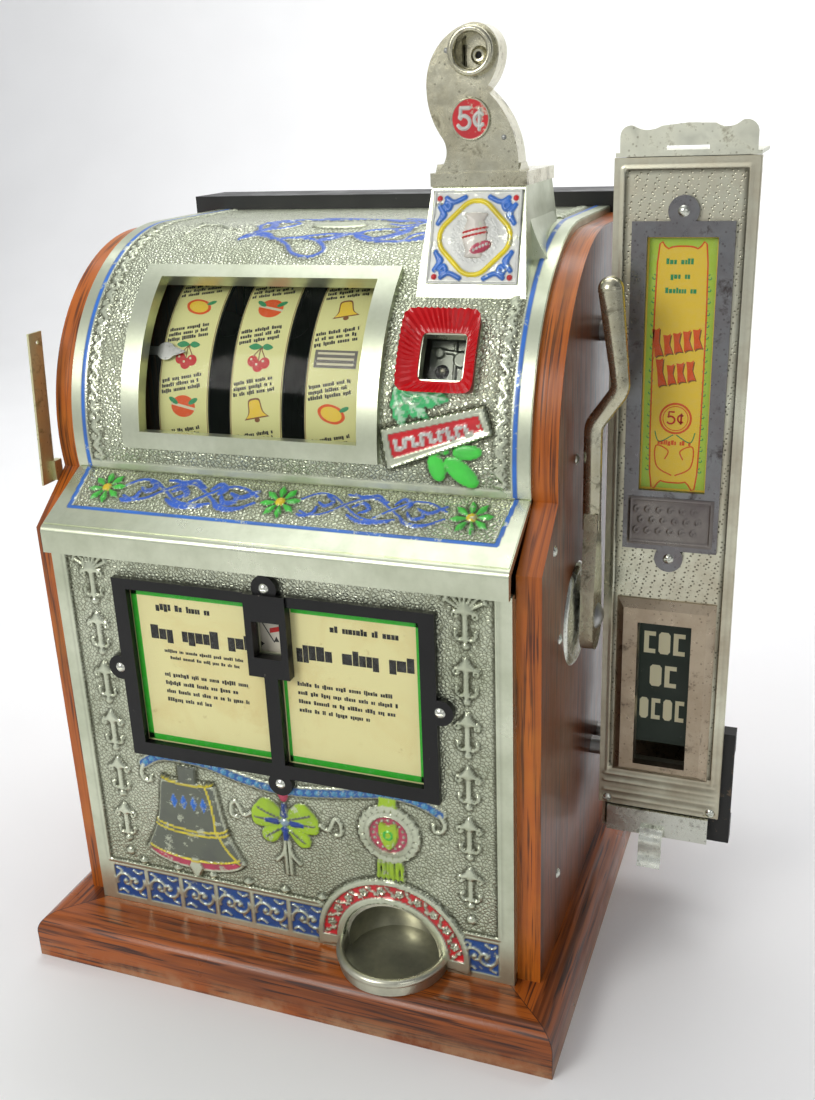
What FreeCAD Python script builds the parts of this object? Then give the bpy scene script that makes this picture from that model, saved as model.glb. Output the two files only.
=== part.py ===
import FreeCAD, Part
import math
import os
import re
import Sketcher

from FreeCAD import Placement, Rotation, Vector

# Antique counter-top slot machine with a gooseneck coin head and a side gum vendor.
# X runs to the right, Y to the back and Z up. The origin is the centre of the plinth's underside.
# Every length is in millimetres and every angle in degrees.

SIZES = {
    "base_width": 400, "base_depth": 386, "base_height": 34, "base_round": 13,
    "cabinet_width": 360, "side_thickness": 16, "side_front": -146, "cabinet_back": 166,
    "arch_y": 23, "arch_z": 388, "arch_radius": 134, "skin": 4, "arch_foot_z": 368,
    "front_face": -153, "front_top": 322, "flange_depth": 60,
    "step_front": -162, "step_lip_low": 322, "step_lip_high": 340,
    "cap_front": 123, "cap_back": 174, "cap_half_width": 185, "cap_thickness": 15,
    "window_left": -107, "window_right": 52, "window_low_angle": 4, "window_high_angle": 50,
    "window_border": 14, "window_rise": 5, "glass": 2,
    "coin_window_x": 105, "coin_window_half": 14, "coin_window_angle": 28,
    "reel_y": 16, "reel_z": 390, "reel_radius": 114, "reel_width": 40, "reel_pitch": 55,
    "reel_middle_x": -28, "reel_stops": 20, "reel_shaft_radius": 5, "running_gap": 0.05,
    "shelf_low": 205, "shelf_thickness": 14, "plate": 3,
    "mechanism_left": -115, "mechanism_right": 60,
    "card_half_width": 115.5, "card_low": 171, "card_high": 307, "card_border": 10.5,
    "mullion_half": 5, "card_frame_thickness": 5, "card_recess": 2,
    "card_box_half": 15, "card_box_low": 248, "card_window_half": 10,
    "card_window_low": 262, "card_window_high": 288,
    "dial_radius": 36, "dial_z": 250,
    "cup_x": 76, "cup_y": -152, "cup_z": 44, "cup_radius": 41, "cup_opening": 36, "cup_wall": 2.2,
    "handle_y": -52, "handle_z": 270, "handle_x": 190, "handle_shaft_radius": 6,
    "crank_radius": 34, "crank_lean": 35, "crank_x": 140, "crank_pin_radius": 4,
    "head_front": -48, "head_back": -30, "head_base_z": 549, "head_base_back": 22,
    "door_thickness": 14, "door_low": 36, "door_high": 517, "hinge_x": -164.3, "hinge_y": 169.4,
    "hinge_radius": 3, "hinge_pin_radius": 1.5, "leaf": 1.4, "lock_x": 147, "lock_z": 330,
    "vendor_x": 236, "vendor_half": 44, "vendor_front": -14, "vendor_skin": 6,
    "vendor_case_left": 194, "vendor_case_right": 272, "vendor_back": 50,
    "vendor_low": 76, "vendor_front_low": 100, "vendor_high": 562, "sheet": 2,
    "flag_window_half": 18.5, "flag_window_low": 141, "flag_window_high": 254,
    "gum_frame_half": 31.5, "gum_frame_low": 308, "gum_frame_high": 524.5,
    "gum_card_half": 21.75, "gum_card_low": 350, "gum_card_high": 515,
    "follower_low": 256, "follower_height": 20, "lid_gap": 0.4,
}

doc = FreeCAD.newDocument("SlotMachine")
dims = doc.addObject("Spreadsheet::Sheet", "Dims")
for row, (alias, number) in enumerate(SIZES.items(), start=1):
    dims.set(f"A{row}", alias)
    dims.set(f"B{row}", str(number))
    dims.setAlias(f"B{row}", alias)
doc.recompute()

WORD = re.compile(r"[a-z_]+")
AXES = {"X": Rotation(Vector(0, 1, 0), 90), "Y": Rotation(Vector(1, 0, 0), -90), "Z": Rotation()}
nodes = []


def size(alias):
    """A driving dimension, read from the sheet."""
    return float(dims.get(alias))


def bind(item, prop, text):
    """Bind a property to a formula of the sheet's aliases."""
    def qualify(match):
        return "Dims." + match.group() if match.group() in SIZES else match.group()
    item.setExpression(prop, WORD.sub(qualify, str(text)))


def node(item, label=None):
    """Mark an object as one of the machine's pieces."""
    item.Label = label or item.Name
    nodes.append(item)
    return item


def solid(name, shape):
    """A free-form piece whose shape is worked out from the sheet in code."""
    item = doc.addObject("Part::Feature", name)
    item.Shape = shape
    item.Placement = shape.Placement
    return item


def box(name, x, y, z):
    """A box between the low and high formulas given for each axis."""
    item = doc.addObject("Part::Box", name)
    for side, axis, (low, high) in zip(("Length", "Width", "Height"), "xyz", (x, y, z)):
        bind(item, side, f"({high}) - ({low})")
        bind(item, f"Placement.Base.{axis}", low)
    return item


def rod(name, axis, centre, radius, low, high):
    """A cylinder along an axis; centre gives the other two coordinates in X, Y, Z order."""
    item = doc.addObject("Part::Cylinder", name)
    item.Placement = Placement(Vector(), AXES[axis])
    bind(item, "Radius", radius)
    bind(item, "Height", f"({high}) - ({low})")
    places = list(centre)
    places.insert("XYZ".index(axis), low)
    for letter, place in zip("xyz", places):
        bind(item, f"Placement.Base.{letter}", place)
    return item


def fuse(name, parts):
    item = doc.addObject("Part::MultiFuse", name)
    item.Shapes = parts
    item.Refine = True
    return item


def cut(name, base, tools):
    item = doc.addObject("Part::Cut", name)
    item.Base = base
    item.Tool = tools[0] if len(tools) == 1 else fuse(name + "_tools", tools)
    return item


def group(name, parts):
    """Several separate solids of the same kind in one node."""
    item = doc.addObject("Part::Compound", name)
    item.Links = parts
    return item


def via(u, v):
    """A point that an arc passes through, between the points before and after it."""
    return (u, v, True)


def curves(marks, place):
    """Lines and three-point arcs through the marks, closed, placed by the given function."""
    marks = list(marks) + [marks[0]]
    edges = []
    start = marks[0]
    middle = None
    for mark in marks[1:]:
        if len(mark) == 3:
            middle = mark
        elif middle:
            edges.append(Part.Arc(place(*start[:2]), place(*middle[:2]), place(*mark[:2])))
            start, middle = mark, None
        else:
            edges.append(Part.LineSegment(place(*start[:2]), place(*mark[:2])))
            start = mark
    return edges


def prism(plane, marks, low, high):
    """A shape with the outline in the plane YZ, XZ or XY, from low to high across it."""
    across = "XYZ".index({"YZ": "X", "XZ": "Y", "XY": "Z"}[plane])

    def place(u, v):
        values = [u, v]
        values.insert(across, low)
        return Vector(*values)

    along = [0, 0, 0]
    along[across] = high - low
    wire = Part.Wire([curve.toShape() for curve in curves(marks, place)])
    return Part.Face(wire).extrude(Vector(*along))


def block(x, y, z):
    """A plain box shape between two numbers on each axis."""
    return Part.makeBox(x[1] - x[0], y[1] - y[0], z[1] - z[0], Vector(x[0], y[0], z[0]))


def bar(axis, centre, radius, low, high):
    """A plain cylinder shape along an axis."""
    places = list(centre)
    places.insert("XYZ".index(axis), low)
    direction = [0, 0, 0]
    direction["XYZ".index(axis)] = 1
    return Part.makeCylinder(radius, high - low, Vector(*places), Vector(*direction))


def padded(name, plane, marks, low, high):
    """A PartDesign body: the outline sketched on an origin plane and padded from low to high."""
    body = doc.addObject("PartDesign::Body", name)
    sketch = body.newObject("Sketcher::SketchObject", name + "_sketch")
    role = plane + "_Plane"
    origin_plane = [item for item in body.Origin.OriginFeatures if item.Role == role][0]
    sketch.AttachmentSupport = [(origin_plane, "")]
    sketch.MapMode = "FlatFace"
    bind(sketch, "AttachmentOffset.Base.z", f"-({high})" if plane == "XZ" else low)
    sketch.addGeometry(curves(marks, lambda u, v: Vector(u, v, 0)), False)
    pad = body.newObject("PartDesign::Pad", name + "_pad")
    pad.Profile = sketch
    bind(pad, "Length", f"({high}) - ({low})")
    doc.recompute()
    return body


def rounded(body, radius, wanted):
    """Round the body's edges that the test picks."""
    feature = body.Tip
    names = [f"Edge{number}" for number, edge in enumerate(feature.Shape.Edges, start=1) if wanted(edge)]
    fillet = body.newObject("PartDesign::Fillet", body.Name + "_round")
    fillet.Base = (feature, names)
    bind(fillet, "Radius", radius)
    doc.recompute()
    return body


def arch_point(angle, radius):
    """Y and Z of a point on the arch, the angle rising from the front."""
    turn = math.radians(angle)
    return size("arch_y") - radius * math.cos(turn), size("arch_z") + radius * math.sin(turn)


def arch_band(x, angles, inner, outer):
    """A curved slab that follows the arch, between two X values, two angles and two radii."""
    middle = sum(angles) / 2
    marks = [arch_point(angles[0], inner), arch_point(angles[0], outer), via(*arch_point(middle, outer)),
             arch_point(angles[1], outer), arch_point(angles[1], inner), via(*arch_point(middle, inner))]
    return prism("YZ", marks, *x)


HALF_INSIDE = size("cabinet_width") / 2 - size("side_thickness")


# Cabinet: plinth, side panels, cap, shelf

def plinth():
    half_width, half_depth = size("base_width") / 2, size("base_depth") / 2
    corners = [(-half_width, -half_depth), (half_width, -half_depth),
               (half_width, half_depth), (-half_width, half_depth)]
    body = padded("base_plinth", "XY", corners, "0", "base_height")
    rounded(body, "base_round", lambda edge: abs(edge.CenterOfMass.z - size("base_height")) < 1)
    node(body)


def side_marks():
    """Outline of a side panel: upright front, sloping shoulder, arch, flat top and back."""
    radius = size("arch_radius") - size("skin")
    foot_angle = -math.degrees(math.asin((size("arch_z") - size("arch_foot_z") + 2) / radius))
    front, back, low = size("side_front"), size("cabinet_back"), size("base_height")
    shoulder = size("arch_foot_z") - 35
    return [(front, low), (back, low), (back, size("arch_z") + radius), arch_point(90, radius),
            via(*arch_point(40, radius)), arch_point(foot_angle, radius), (front, shoulder)]


def side_panels():
    inner = "cabinet_width / 2 - side_thickness"
    outer = "cabinet_width / 2"
    node(padded("left_side_panel", "YZ", side_marks(), f"-{outer}", f"-({inner})"))
    panel = padded("right_panel_blank", "YZ", side_marks(), inner, outer)
    shaft_hole = rod("right_panel_shaft_hole", "X", ("handle_y", "handle_z"), "handle_shaft_radius + 3",
                     f"{inner} - 1", f"{outer} + 1")
    lock_slot = box("right_panel_lock_slot", (f"{inner} - 1", f"{inner} + 8"),
                    ("cabinet_back - 28", "cabinet_back - 16"), ("lock_z - 18", "lock_z + 12"))
    node(cut("right_side_panel", panel, [shaft_hole, lock_slot]))


def cap_and_shelf():
    top = "arch_z + arch_radius - skin"
    node(box("top_rear_cap", ("-cap_half_width", "cap_half_width"), ("cap_front", "cap_back"),
             (top, f"{top} + cap_thickness")))
    inner = "cabinet_width / 2 - side_thickness"
    board = box("mechanism_shelf_board", (f"-({inner})", inner), ("-88", "145"),
                ("shelf_low", "shelf_low + shelf_thickness"))
    coin_exit = box("mechanism_shelf_exit", ("92", "118"), ("-33", "-5"),
                    ("shelf_low - 1", "shelf_low + shelf_thickness + 1"))
    node(cut("mechanism_shelf", board, [coin_exit]))


# Cast fronts

def lower_front():
    inner = "(cabinet_width / 2 - side_thickness)"
    back = "front_face + skin"
    plate = box("lower_front_plate", (f"-{inner}", inner), ("front_face", back),
                ("base_height", "front_top"))
    flanges = [
        box("lower_front_flange_left", (f"-{inner}", f"-{inner} + skin"), (back, f"{back} + flange_depth"),
            ("base_height + 6", "front_top - 4")),
        box("lower_front_flange_right", (f"{inner} - skin", inner), (back, f"{back} + flange_depth"),
            ("base_height + 6", "front_top - 4")),
    ]
    dial_boss = rod("lower_front_dial_boss", "Y", ("0", "dial_z"), "5", back, f"{back} + 3")
    dial_pin = rod("lower_front_dial_pin", "Y", ("0", "dial_z"), "2", back, f"{back} + 9")
    casting = fuse("lower_front_blank", [plate, dial_boss, dial_pin] + flanges)
    cup_hole = rod("lower_front_cup_hole", "Y", ("cup_x", "cup_z"), "cup_opening",
                   "front_face - 1", f"{back} + 1")
    window = box("lower_front_window", ("-card_window_half", "card_window_half"),
                 ("front_face - 1", f"{back} + 1"), ("card_window_low", "card_window_high"))
    recess = box("lower_front_recess", ("-card_half_width + 6", "card_half_width - 6"),
                 ("front_face - 1", "front_face + card_recess"), ("card_low + 6", "card_high - 4"))
    node(cut("lower_front_casting", casting, [cup_hole, window, recess]))


def step():
    """Sloping ledge with a rounded lip, between the flat front and the arch."""
    front, low, high = size("step_front"), size("step_lip_low"), size("step_lip_high")
    foot_y, foot_z = arch_point(-math.degrees(math.asin(20 / size("arch_radius"))), size("arch_radius"))
    skin = size("skin")
    marks = [(front, low), (front, high - 3), via(front + 0.7, high - 0.8), (front + 3, high + 1.2),
             (foot_y, foot_z), (foot_y, foot_z - 4.6), (front + skin + 1.5, high - 3.4),
             (front + skin, low)]
    node(solid("step_casting", prism("YZ", marks, -HALF_INSIDE, HALF_INSIDE)))


def tapered_box(lower, upper, margin=0, extra=0):
    """Loft between two level rectangles, each (x range, y range, height), drawn in by a margin."""
    outlines = []
    for (x, y, height), shift in ((lower, -extra), (upper, extra)):
        left, right, near, far = x[0] + margin, x[1] - margin, y[0] + margin, y[1] - margin
        corners = [(left, near), (right, near), (right, far), (left, far), (left, near)]
        outlines.append(Part.makePolygon([Vector(u, v, height + shift) for u, v in corners]))
    return Part.makeLoft(outlines, True)


def pedestal():
    """Hollow tapering stand for the coin head, flaring to the right where it meets the arch."""
    foot = 470
    lower, upper = ((78, 152), (-76, 32), foot), ((84, 144.5), (-47, 20), size("head_base_z"))
    outer, inner = tapered_box(lower, upper), tapered_box(lower, upper, size("skin"), 0.1)
    flare = prism("XZ", [(140, foot), (163, foot), (163, 498), via(150.5, 517), (144, 546), (140, 546)],
                  -44, 18)
    return outer.fuse(flare).cut(inner)


def upper_front():
    """Arched casting: the reel window's frame and the pedestal stand on it."""
    radius, skin = size("arch_radius"), size("skin")
    foot_angle = -math.degrees(math.asin(20 / radius))
    flat_back = size("cap_front")
    outer_foot, inner_foot = arch_point(foot_angle, radius), arch_point(foot_angle, radius - skin)
    shell = prism("YZ", [outer_foot, via(*arch_point(40, radius)), arch_point(90, radius),
                         (flat_back, size("arch_z") + radius), (flat_back, size("arch_z") + radius - skin),
                         arch_point(90, radius - skin), via(*arch_point(40, radius - skin)), inner_foot],
                  -HALF_INSIDE, HALF_INSIDE)
    below = prism("YZ", [arch_point(foot_angle - 1, radius - skin), via(*arch_point(40, radius - skin)),
                         arch_point(90, radius - skin), (140, size("arch_z") + radius - skin), (140, 360)],
                  -HALF_INSIDE - 1, HALF_INSIDE + 1)
    left, right = size("window_left"), size("window_right")
    low, high = size("window_low_angle"), size("window_high_angle")
    border = size("window_border")
    spread = math.degrees(border / radius) * 0.8
    rise = size("window_rise")
    frame = arch_band((left - border, right + border), (low - spread, high + spread),
                      radius - 1, radius + rise)
    coin_x, coin_half = size("coin_window_x"), size("coin_window_half")
    coin_angle, coin_spread = size("coin_window_angle"), math.degrees(coin_half / radius)
    coin_low, coin_high = coin_angle - coin_spread, coin_angle + coin_spread
    collar = arch_band((coin_x - coin_half - 10, coin_x + coin_half + 8),
                       (coin_low - 3.2, coin_high + 3.8), radius - 1, radius + 3)
    casting = shell.fuse([frame, collar, pedestal().cut(below)])
    openings = [arch_band((left, right), (low, high), radius - skin - 1, radius + rise + 1),
                arch_band((coin_x - coin_half, coin_x + coin_half), (coin_low, coin_high),
                          radius - skin - 1, radius + 4),
                block((94, 131), (-44, -20), (480, 530))]
    node(solid("upper_front_casting", casting.cut(openings).removeSplitter()))


def arch_glass():
    """Curved panes held behind the reel window and behind the coin window."""
    radius = size("arch_radius") - size("skin") - 0.2
    inner = radius - size("glass")
    margin = 5
    spread = math.degrees(margin / radius)
    node(solid("reel_window_glass", arch_band(
        (size("window_left") - margin, size("window_right") + margin),
        (size("window_low_angle") - spread, size("window_high_angle") + spread), inner, radius)))
    half = size("coin_window_half") + 4
    turn = math.degrees(half / radius)
    node(solid("coin_window_glass", arch_band(
        (size("coin_window_x") - half, size("coin_window_x") + half),
        (size("coin_window_angle") - turn, size("coin_window_angle") + turn), inner, radius)))


def pointer():
    """Teardrop pay-line pointer behind the window's left edge, over the first reel."""
    angle, inner, outer = 28.5, 123.2, 124.2
    drop = prism("XZ", [(-119, -3), (-104, -3), via(-98, -6.2), (-92, -3.4), (-83, -0.4), (-83, 0.4),
                        (-92, 3.4), via(-98, 6.2), (-104, 3), (-119, 3)], -4, 4)
    drop.rotate(Vector(), Vector(1, 0, 0), -angle)
    drop.translate(Vector(0, *arch_point(angle, (inner + outer) / 2)))
    blade = drop.common(arch_band((-120, -80), (angle - 6, angle + 6), inner, outer))
    radius = size("arch_radius") - size("skin")
    stud = arch_band((-119, -114), (angle - 1.3, angle + 1.3), inner, radius)
    node(solid("reel_pointer", blade.fuse(stud).removeSplitter()))


# Coin head

def coin_head():
    front, back, base = size("head_front"), size("head_back"), size("head_base_z")
    neck = prism("XZ", [(88, base + 9), via(94.2, 569), (92, 577), via(84.6, 591), (82.2, 606),
                        via(90.5, 630), (112, 641.8), via(124, 636.6), (128.3, 625), via(125.6, 613.5),
                        (119.5, 604.5), via(133, 588), (140, base + 9)], front, back)
    foot = block((83.5, 145.5), (front - 1, size("head_base_back")), (base, base + 8))
    ridge = prism("YZ", [(front - 0.5, base + 7.5), (front - 0.5, base + 8.5), via(front + 1, base + 10.5),
                         (front + 3, base + 13), (back - 1, base + 13), via(back + 1, base + 10.5),
                         (back + 4, base + 8.5), (back + 4, base + 7.5)], 87, 141)
    recess = bar("Y", (112, 626), 10.5, front - 1, front + 6)
    passage = prism("XZ", [(100, 630), (124, 630), (114.5, 604), (127, 576), (127, base - 1),
                           (101, base - 1), (101, 578), (88.5, 606)], front + 9, front + 12.5)
    slit = block((103.5, 106.5), (front + 5, front + 13), (615, 637))
    node(solid("coin_head_body", neck.fuse([foot, ridge]).cut([recess, passage, slit]).removeSplitter()))
    ring = bar("Y", (112, 626), 13.8, front - 5, front)
    ring = ring.cut(bar("Y", (112, 626), 10.5, front - 6, front + 1))
    rim = Part.makeTorus(12.2, 2, Vector(112, front - 5, 626), Vector(0, 1, 0))
    node(solid("coin_entry_bezel", ring.fuse(rim)))


def coin_path():
    """Chute from the head down to the coin tube, and the tube itself."""
    lower, upper = ((91, 119), (-72, -44), 404), ((98, 128), (-34, -26), 522)
    node(solid("coin_chute", tapered_box(lower, upper).cut(tapered_box(lower, upper, 1, 0.1))))
    tube = bar("Z", (105, -58), 13.5, 236, 403).cut(bar("Z", (105, -58), 11.6, 235, 404))
    foot = block((84, 126), (-76, -42), (236, 239)).cut(bar("Z", (105, -58), 11.6, 235, 240))
    leg = block((80, 87), (-76, -42), (223, 239))
    node(solid("coin_tube", tube.fuse([foot, leg]).removeSplitter()))


# Award cards and their frame

def award_cards():
    outer = size("card_half_width")
    low, high = size("card_low"), size("card_high")
    front, back = size("front_face") - size("card_frame_thickness"), size("front_face")
    border, mullion = size("card_border"), size("mullion_half")
    plate = block((-outer, outer), (front, back), (low, high))
    ears = [bar("Y", place, 9, front, back) for place in award_screw_places()]
    boss = size("card_box_half")
    centre = block((-boss, boss), (front - 2, back), (size("card_box_low"), high))
    through, tall = (front - 1, back + 1), (low + border, high - border + 3)
    apertures = [block((-outer + border, -mullion), through, tall),
                 block((mullion, outer - border), through, tall)]
    half = size("card_window_half")
    window = block((-half, half), (front - 3, back + 1),
                   (size("card_window_low"), size("card_window_high")))
    frame = plate.fuse(ears).cut(apertures).fuse(centre).cut(window)
    node(solid("award_card_frame", frame.removeSplitter()))
    recess_half, recess_low, recess_high = outer - 6.3, low + 6.3, high - 4.3
    face = size("front_face")
    panes, cards = [], []
    notch = block((-12, 12), (face - 1, face + 3), (size("card_box_low") + 8, recess_high + 1))
    for side in (-1, 1):
        span = sorted((side * 5.2, side * recess_half))
        pane = block(span, (face + 0.1, face + 1.3), (recess_low, recess_high)).cut(notch)
        card = block(span, (face + 1.4, face + 1.9), (recess_low, recess_high)).cut(notch)
        panes.append(solid(f"award_pane_{side + 2}", pane))
        cards.append(solid(f"award_card_{side + 2}", card))
    node(group("award_card_glass", panes))
    node(group("award_cards", cards))


def award_screw_places():
    """X and Z of the four ears' screws: top, bottom, left and right."""
    middle = (size("card_low") + size("card_high")) / 2
    return [(0, size("card_high") + 4), (0, size("card_low") - 5),
            (-size("card_half_width") - 2, middle), (size("card_half_width") + 2, middle)]


def indicator_dial():
    """Disc behind the small window that shows what the next play buys."""
    back = "front_face + skin + 3.3"
    disc = rod("dial_disc", "Y", ("0", "dial_z"), "dial_radius", back, f"{back} + 1.2")
    hub = rod("dial_hub", "Y", ("0", "dial_z"), "7", back, f"{back} + 4")
    bore = rod("dial_bore", "Y", ("0", "dial_z"), "2 + running_gap", f"{back} - 1", f"{back} + 5")
    node(cut("indicator_dial", fuse("dial_blank", [disc, hub]), [bore]))


# Payout cup and chute

def payout():
    x, y, z = size("cup_x"), size("cup_y"), size("cup_z")
    floor = size("base_height") + 0.2
    outer_radius, opening, wall = size("cup_radius"), size("cup_opening"), size("cup_wall")
    face = size("front_face")
    bowl = bar("Z", (x, y), outer_radius - 2, floor, z)
    bowl = bowl.common(block((x - 60, x + 60), (y - 60, face), (0, z)))
    lip = Part.makeTorus(outer_radius - 3.2, 3.2, Vector(x, y, z))
    lip = lip.common(block((x - 60, x + 60), (y - 60, face), (0, z + 9)))
    dome = Part.makeSphere(opening - 0.1, Vector(x, face, z))
    dome = dome.common(block((x - 60, x + 60), (face - 1, 0), (floor, z + 60)))
    dome = dome.fuse(bar("Y", (x, z), opening - 0.1, face - 1, face + 1).common(
        block((x - 60, x + 60), (face - 1, 0), (floor, z + 60))))
    hollow = Part.makeSphere(opening - wall, Vector(x, face, z))
    hollow = hollow.fuse(bar("Z", (x, face), opening - wall, z, z + 60).common(
        block((x - 60, x + 60), (face - 60, face), (z, z + 60))))
    hollow = hollow.common(block((x - 60, x + 60), (face - 60, face + 60), (floor + wall, z + 60)))
    scoop = bar("Z", (x, y), outer_radius - 5.6, floor + wall, z + 20).common(
        block((x - 60, x + 60), (y - 60, face), (0, z + 20)))
    inlet = block((x - 10, x + 14), (face + 18, face + 50), (z + 14, z + 60))
    cup = bowl.fuse([lip, dome]).cut([hollow, scoop, inlet])
    node(solid("payout_cup", cup.removeSplitter()))

    lower = ((x - 12, x + 20), (-129, -107), z + 38)
    upper = ((89, 121), (-36, -2), size("shelf_low") - 1)
    node(solid("payout_chute", tapered_box(lower, upper).cut(tapered_box(lower, upper, 1, 0.1))))


# Mechanism

def mechanism():
    base_low = "shelf_low + shelf_thickness"
    blank = box("mechanism_base_blank", ("mechanism_left - 6", "158"), ("-88", "130"),
                (base_low, f"{base_low} + 4"))
    coin_exit = box("mechanism_base_exit", ("92", "118"), ("-33", "-5"),
                    (f"{base_low} - 1", f"{base_low} + 5"))
    node(cut("mechanism_base", blank, [coin_exit]))
    floor = size("shelf_low") + size("shelf_thickness") + 4
    plates = []
    for name, x in (("left", size("mechanism_left")), ("right", size("mechanism_right") - size("plate"))):
        marks = [(-60, floor), (118, floor), (118, floor + 110), (60, 440), via(16, 455), (-20, 440),
                 (-60, floor + 90)]
        plate = prism("YZ", marks, x, x + size("plate"))
        holes = [bar("X", (size("reel_y"), size("reel_z")), size("reel_shaft_radius"), x - 1, x + 4),
                 bar("X", (-30, 310), 24, x - 1, x + 4), bar("X", (60, 300), 26, x - 1, x + 4)]
        holes += [bar("X", place, 4, x - 1, x + 4) for place in crossbar_places()]
        plates.append(solid(f"mechanism_plate_{name}", plate.cut(holes)))
    node(group("mechanism_side_plates", plates))
    node(group("mechanism_crossbars", [
        rod(f"crossbar_{number}", "X", (str(y), str(z)), "4", "mechanism_left - 4", "mechanism_right + 4")
        for number, (y, z) in enumerate(crossbar_places())]))
    node(rod("reel_shaft", "X", ("reel_y", "reel_z"), "reel_shaft_radius",
             "mechanism_left - 8", "mechanism_right + 8"))


def crossbar_places():
    """Y and Z of the rods between the side plates; the last one carries the stop levers."""
    return [(-48, 240), (106, 240), (108, 300)]


def reel_centres():
    pitch, middle = size("reel_pitch"), size("reel_middle_x")
    return {"left": middle - pitch, "centre": middle, "right": middle + pitch}


def reels():
    """Each reel: a spoked drum with a notched stop wheel, and the paper strip around its rim."""
    for name, centre in reel_centres().items():
        reel_drum(name, centre)
        half = "reel_width / 2"
        outer = rod(f"{name}_strip_outer", "X", ("reel_y", "reel_z"), "reel_radius",
                    f"{centre} - {half} + 1", f"{centre} + {half} - 1")
        inner = rod(f"{name}_strip_inner", "X", ("reel_y", "reel_z"), "reel_radius - 0.4",
                    f"{centre} - {half}", f"{centre} + {half}")
        node(cut(f"reel_{name}_strip", outer, [inner]))


def reel_drum(name, centre):
    body = doc.addObject("PartDesign::Body", f"reel_{name}_drum")
    plane = [item for item in body.Origin.OriginFeatures if item.Role == "XY_Plane"][0]
    sketch = body.newObject("Sketcher::SketchObject", f"{name}_drum_sketch")
    sketch.AttachmentSupport = [(plane, "")]
    sketch.MapMode = "FlatFace"
    rim, half = size("reel_radius") - 0.4, size("reel_width") / 2
    bore, hub, wheel = size("reel_shaft_radius") + size("running_gap"), 12, 46
    section = [(-half, rim), (half, rim), (half, rim - 2), (-half + 1.6, rim - 2), (-half + 1.6, hub),
               (half + 2, hub), (half + 2, bore), (-half - 6, bore), (-half - 6, wheel), (-half - 4, wheel),
               (-half - 4, hub), (-half, hub)]
    sketch.addGeometry(curves(section, lambda u, v: Vector(u, v, 0)), False)
    turned = body.newObject("PartDesign::Revolution", f"{name}_drum_turned")
    turned.Profile = sketch
    turned.ReferenceAxis = (sketch, ["H_Axis"])
    turned.Angle = 360
    doc.recompute()
    cross = [item for item in body.Origin.OriginFeatures if item.Role == "YZ_Plane"][0]
    for feature, marks, count in (
            ("notch", [(-2, wheel - 5), (2, wheel - 5), (2, wheel + 3), (-2, wheel + 3)],
             size("reel_stops")),
            ("gap", [(-18, 52), via(0, 49), (18, 52), (28, 92), via(0, 97), (-28, 92)], 5)):
        outline = body.newObject("Sketcher::SketchObject", f"{name}_{feature}_sketch")
        outline.AttachmentSupport = [(cross, "")]
        outline.MapMode = "FlatFace"
        depth = 3 if feature == "notch" else 4
        start = -half - 6.5 if feature == "notch" else -half - 1
        outline.AttachmentOffset = Placement(Vector(0, 0, start), Rotation())
        outline.addGeometry(curves(marks, lambda u, v: Vector(u, v, 0)), False)
        pocket = body.newObject("PartDesign::Pocket", f"{name}_{feature}")
        pocket.Profile = outline
        pocket.Length = depth
        pocket.Reversed = True
        doc.recompute()
        pattern = body.newObject("PartDesign::PolarPattern", f"{name}_{feature}_pattern")
        pattern.Originals = [pocket]
        pattern.Axis = (sketch, ["H_Axis"])
        pattern.Angle = 360
        pattern.Occurrences = int(count)
        body.Tip = pattern
        doc.recompute()
    bind(body, "Placement.Base.x", str(centre))
    bind(body, "Placement.Base.y", "reel_y")
    bind(body, "Placement.Base.z", "reel_z")
    node(body)


def stop_levers():
    """One lever per reel, whose tooth stands just clear of a notch of the stop wheel."""
    pivot = crossbar_places()[2]
    notch, wheel_radius, rise = math.radians(-108), 46, 8
    toward = Vector(0, -math.cos(notch), -math.sin(notch))
    centre_point = Vector(0, size("reel_y"), size("reel_z"))
    tip = centre_point - toward * (wheel_radius + 2)
    root = tip - toward * rise
    across = Vector(0, toward.z, -toward.y)
    heel = root - across * 4 - toward * 5
    beam = Vector(0, root.y - pivot[0], root.z - pivot[1]).normalize()
    side = Vector(0, -beam.z, beam.y)
    back = Vector(0, *pivot)
    marks = [tip - across * 1, tip + across * 1, root + across * 2, back - side * 6,
             back - beam * 18 - side * 4, back - beam * 18 + side * 4, back + side * 6, heel,
             root - across * 4]
    for name, centre in reel_centres().items():
        x = centre - size("reel_width") / 2 - 5.5
        arm = prism("YZ", [(mark.y, mark.z) for mark in marks], x, x + 1)
        hub = bar("X", pivot, 7, x - 3, x + 5)
        bore = bar("X", pivot, 4 + size("running_gap"), x - 5, x + 6)
        node(solid(f"stop_lever_{name}", arm.fuse(hub).cut(bore)))


# Handle

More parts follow.
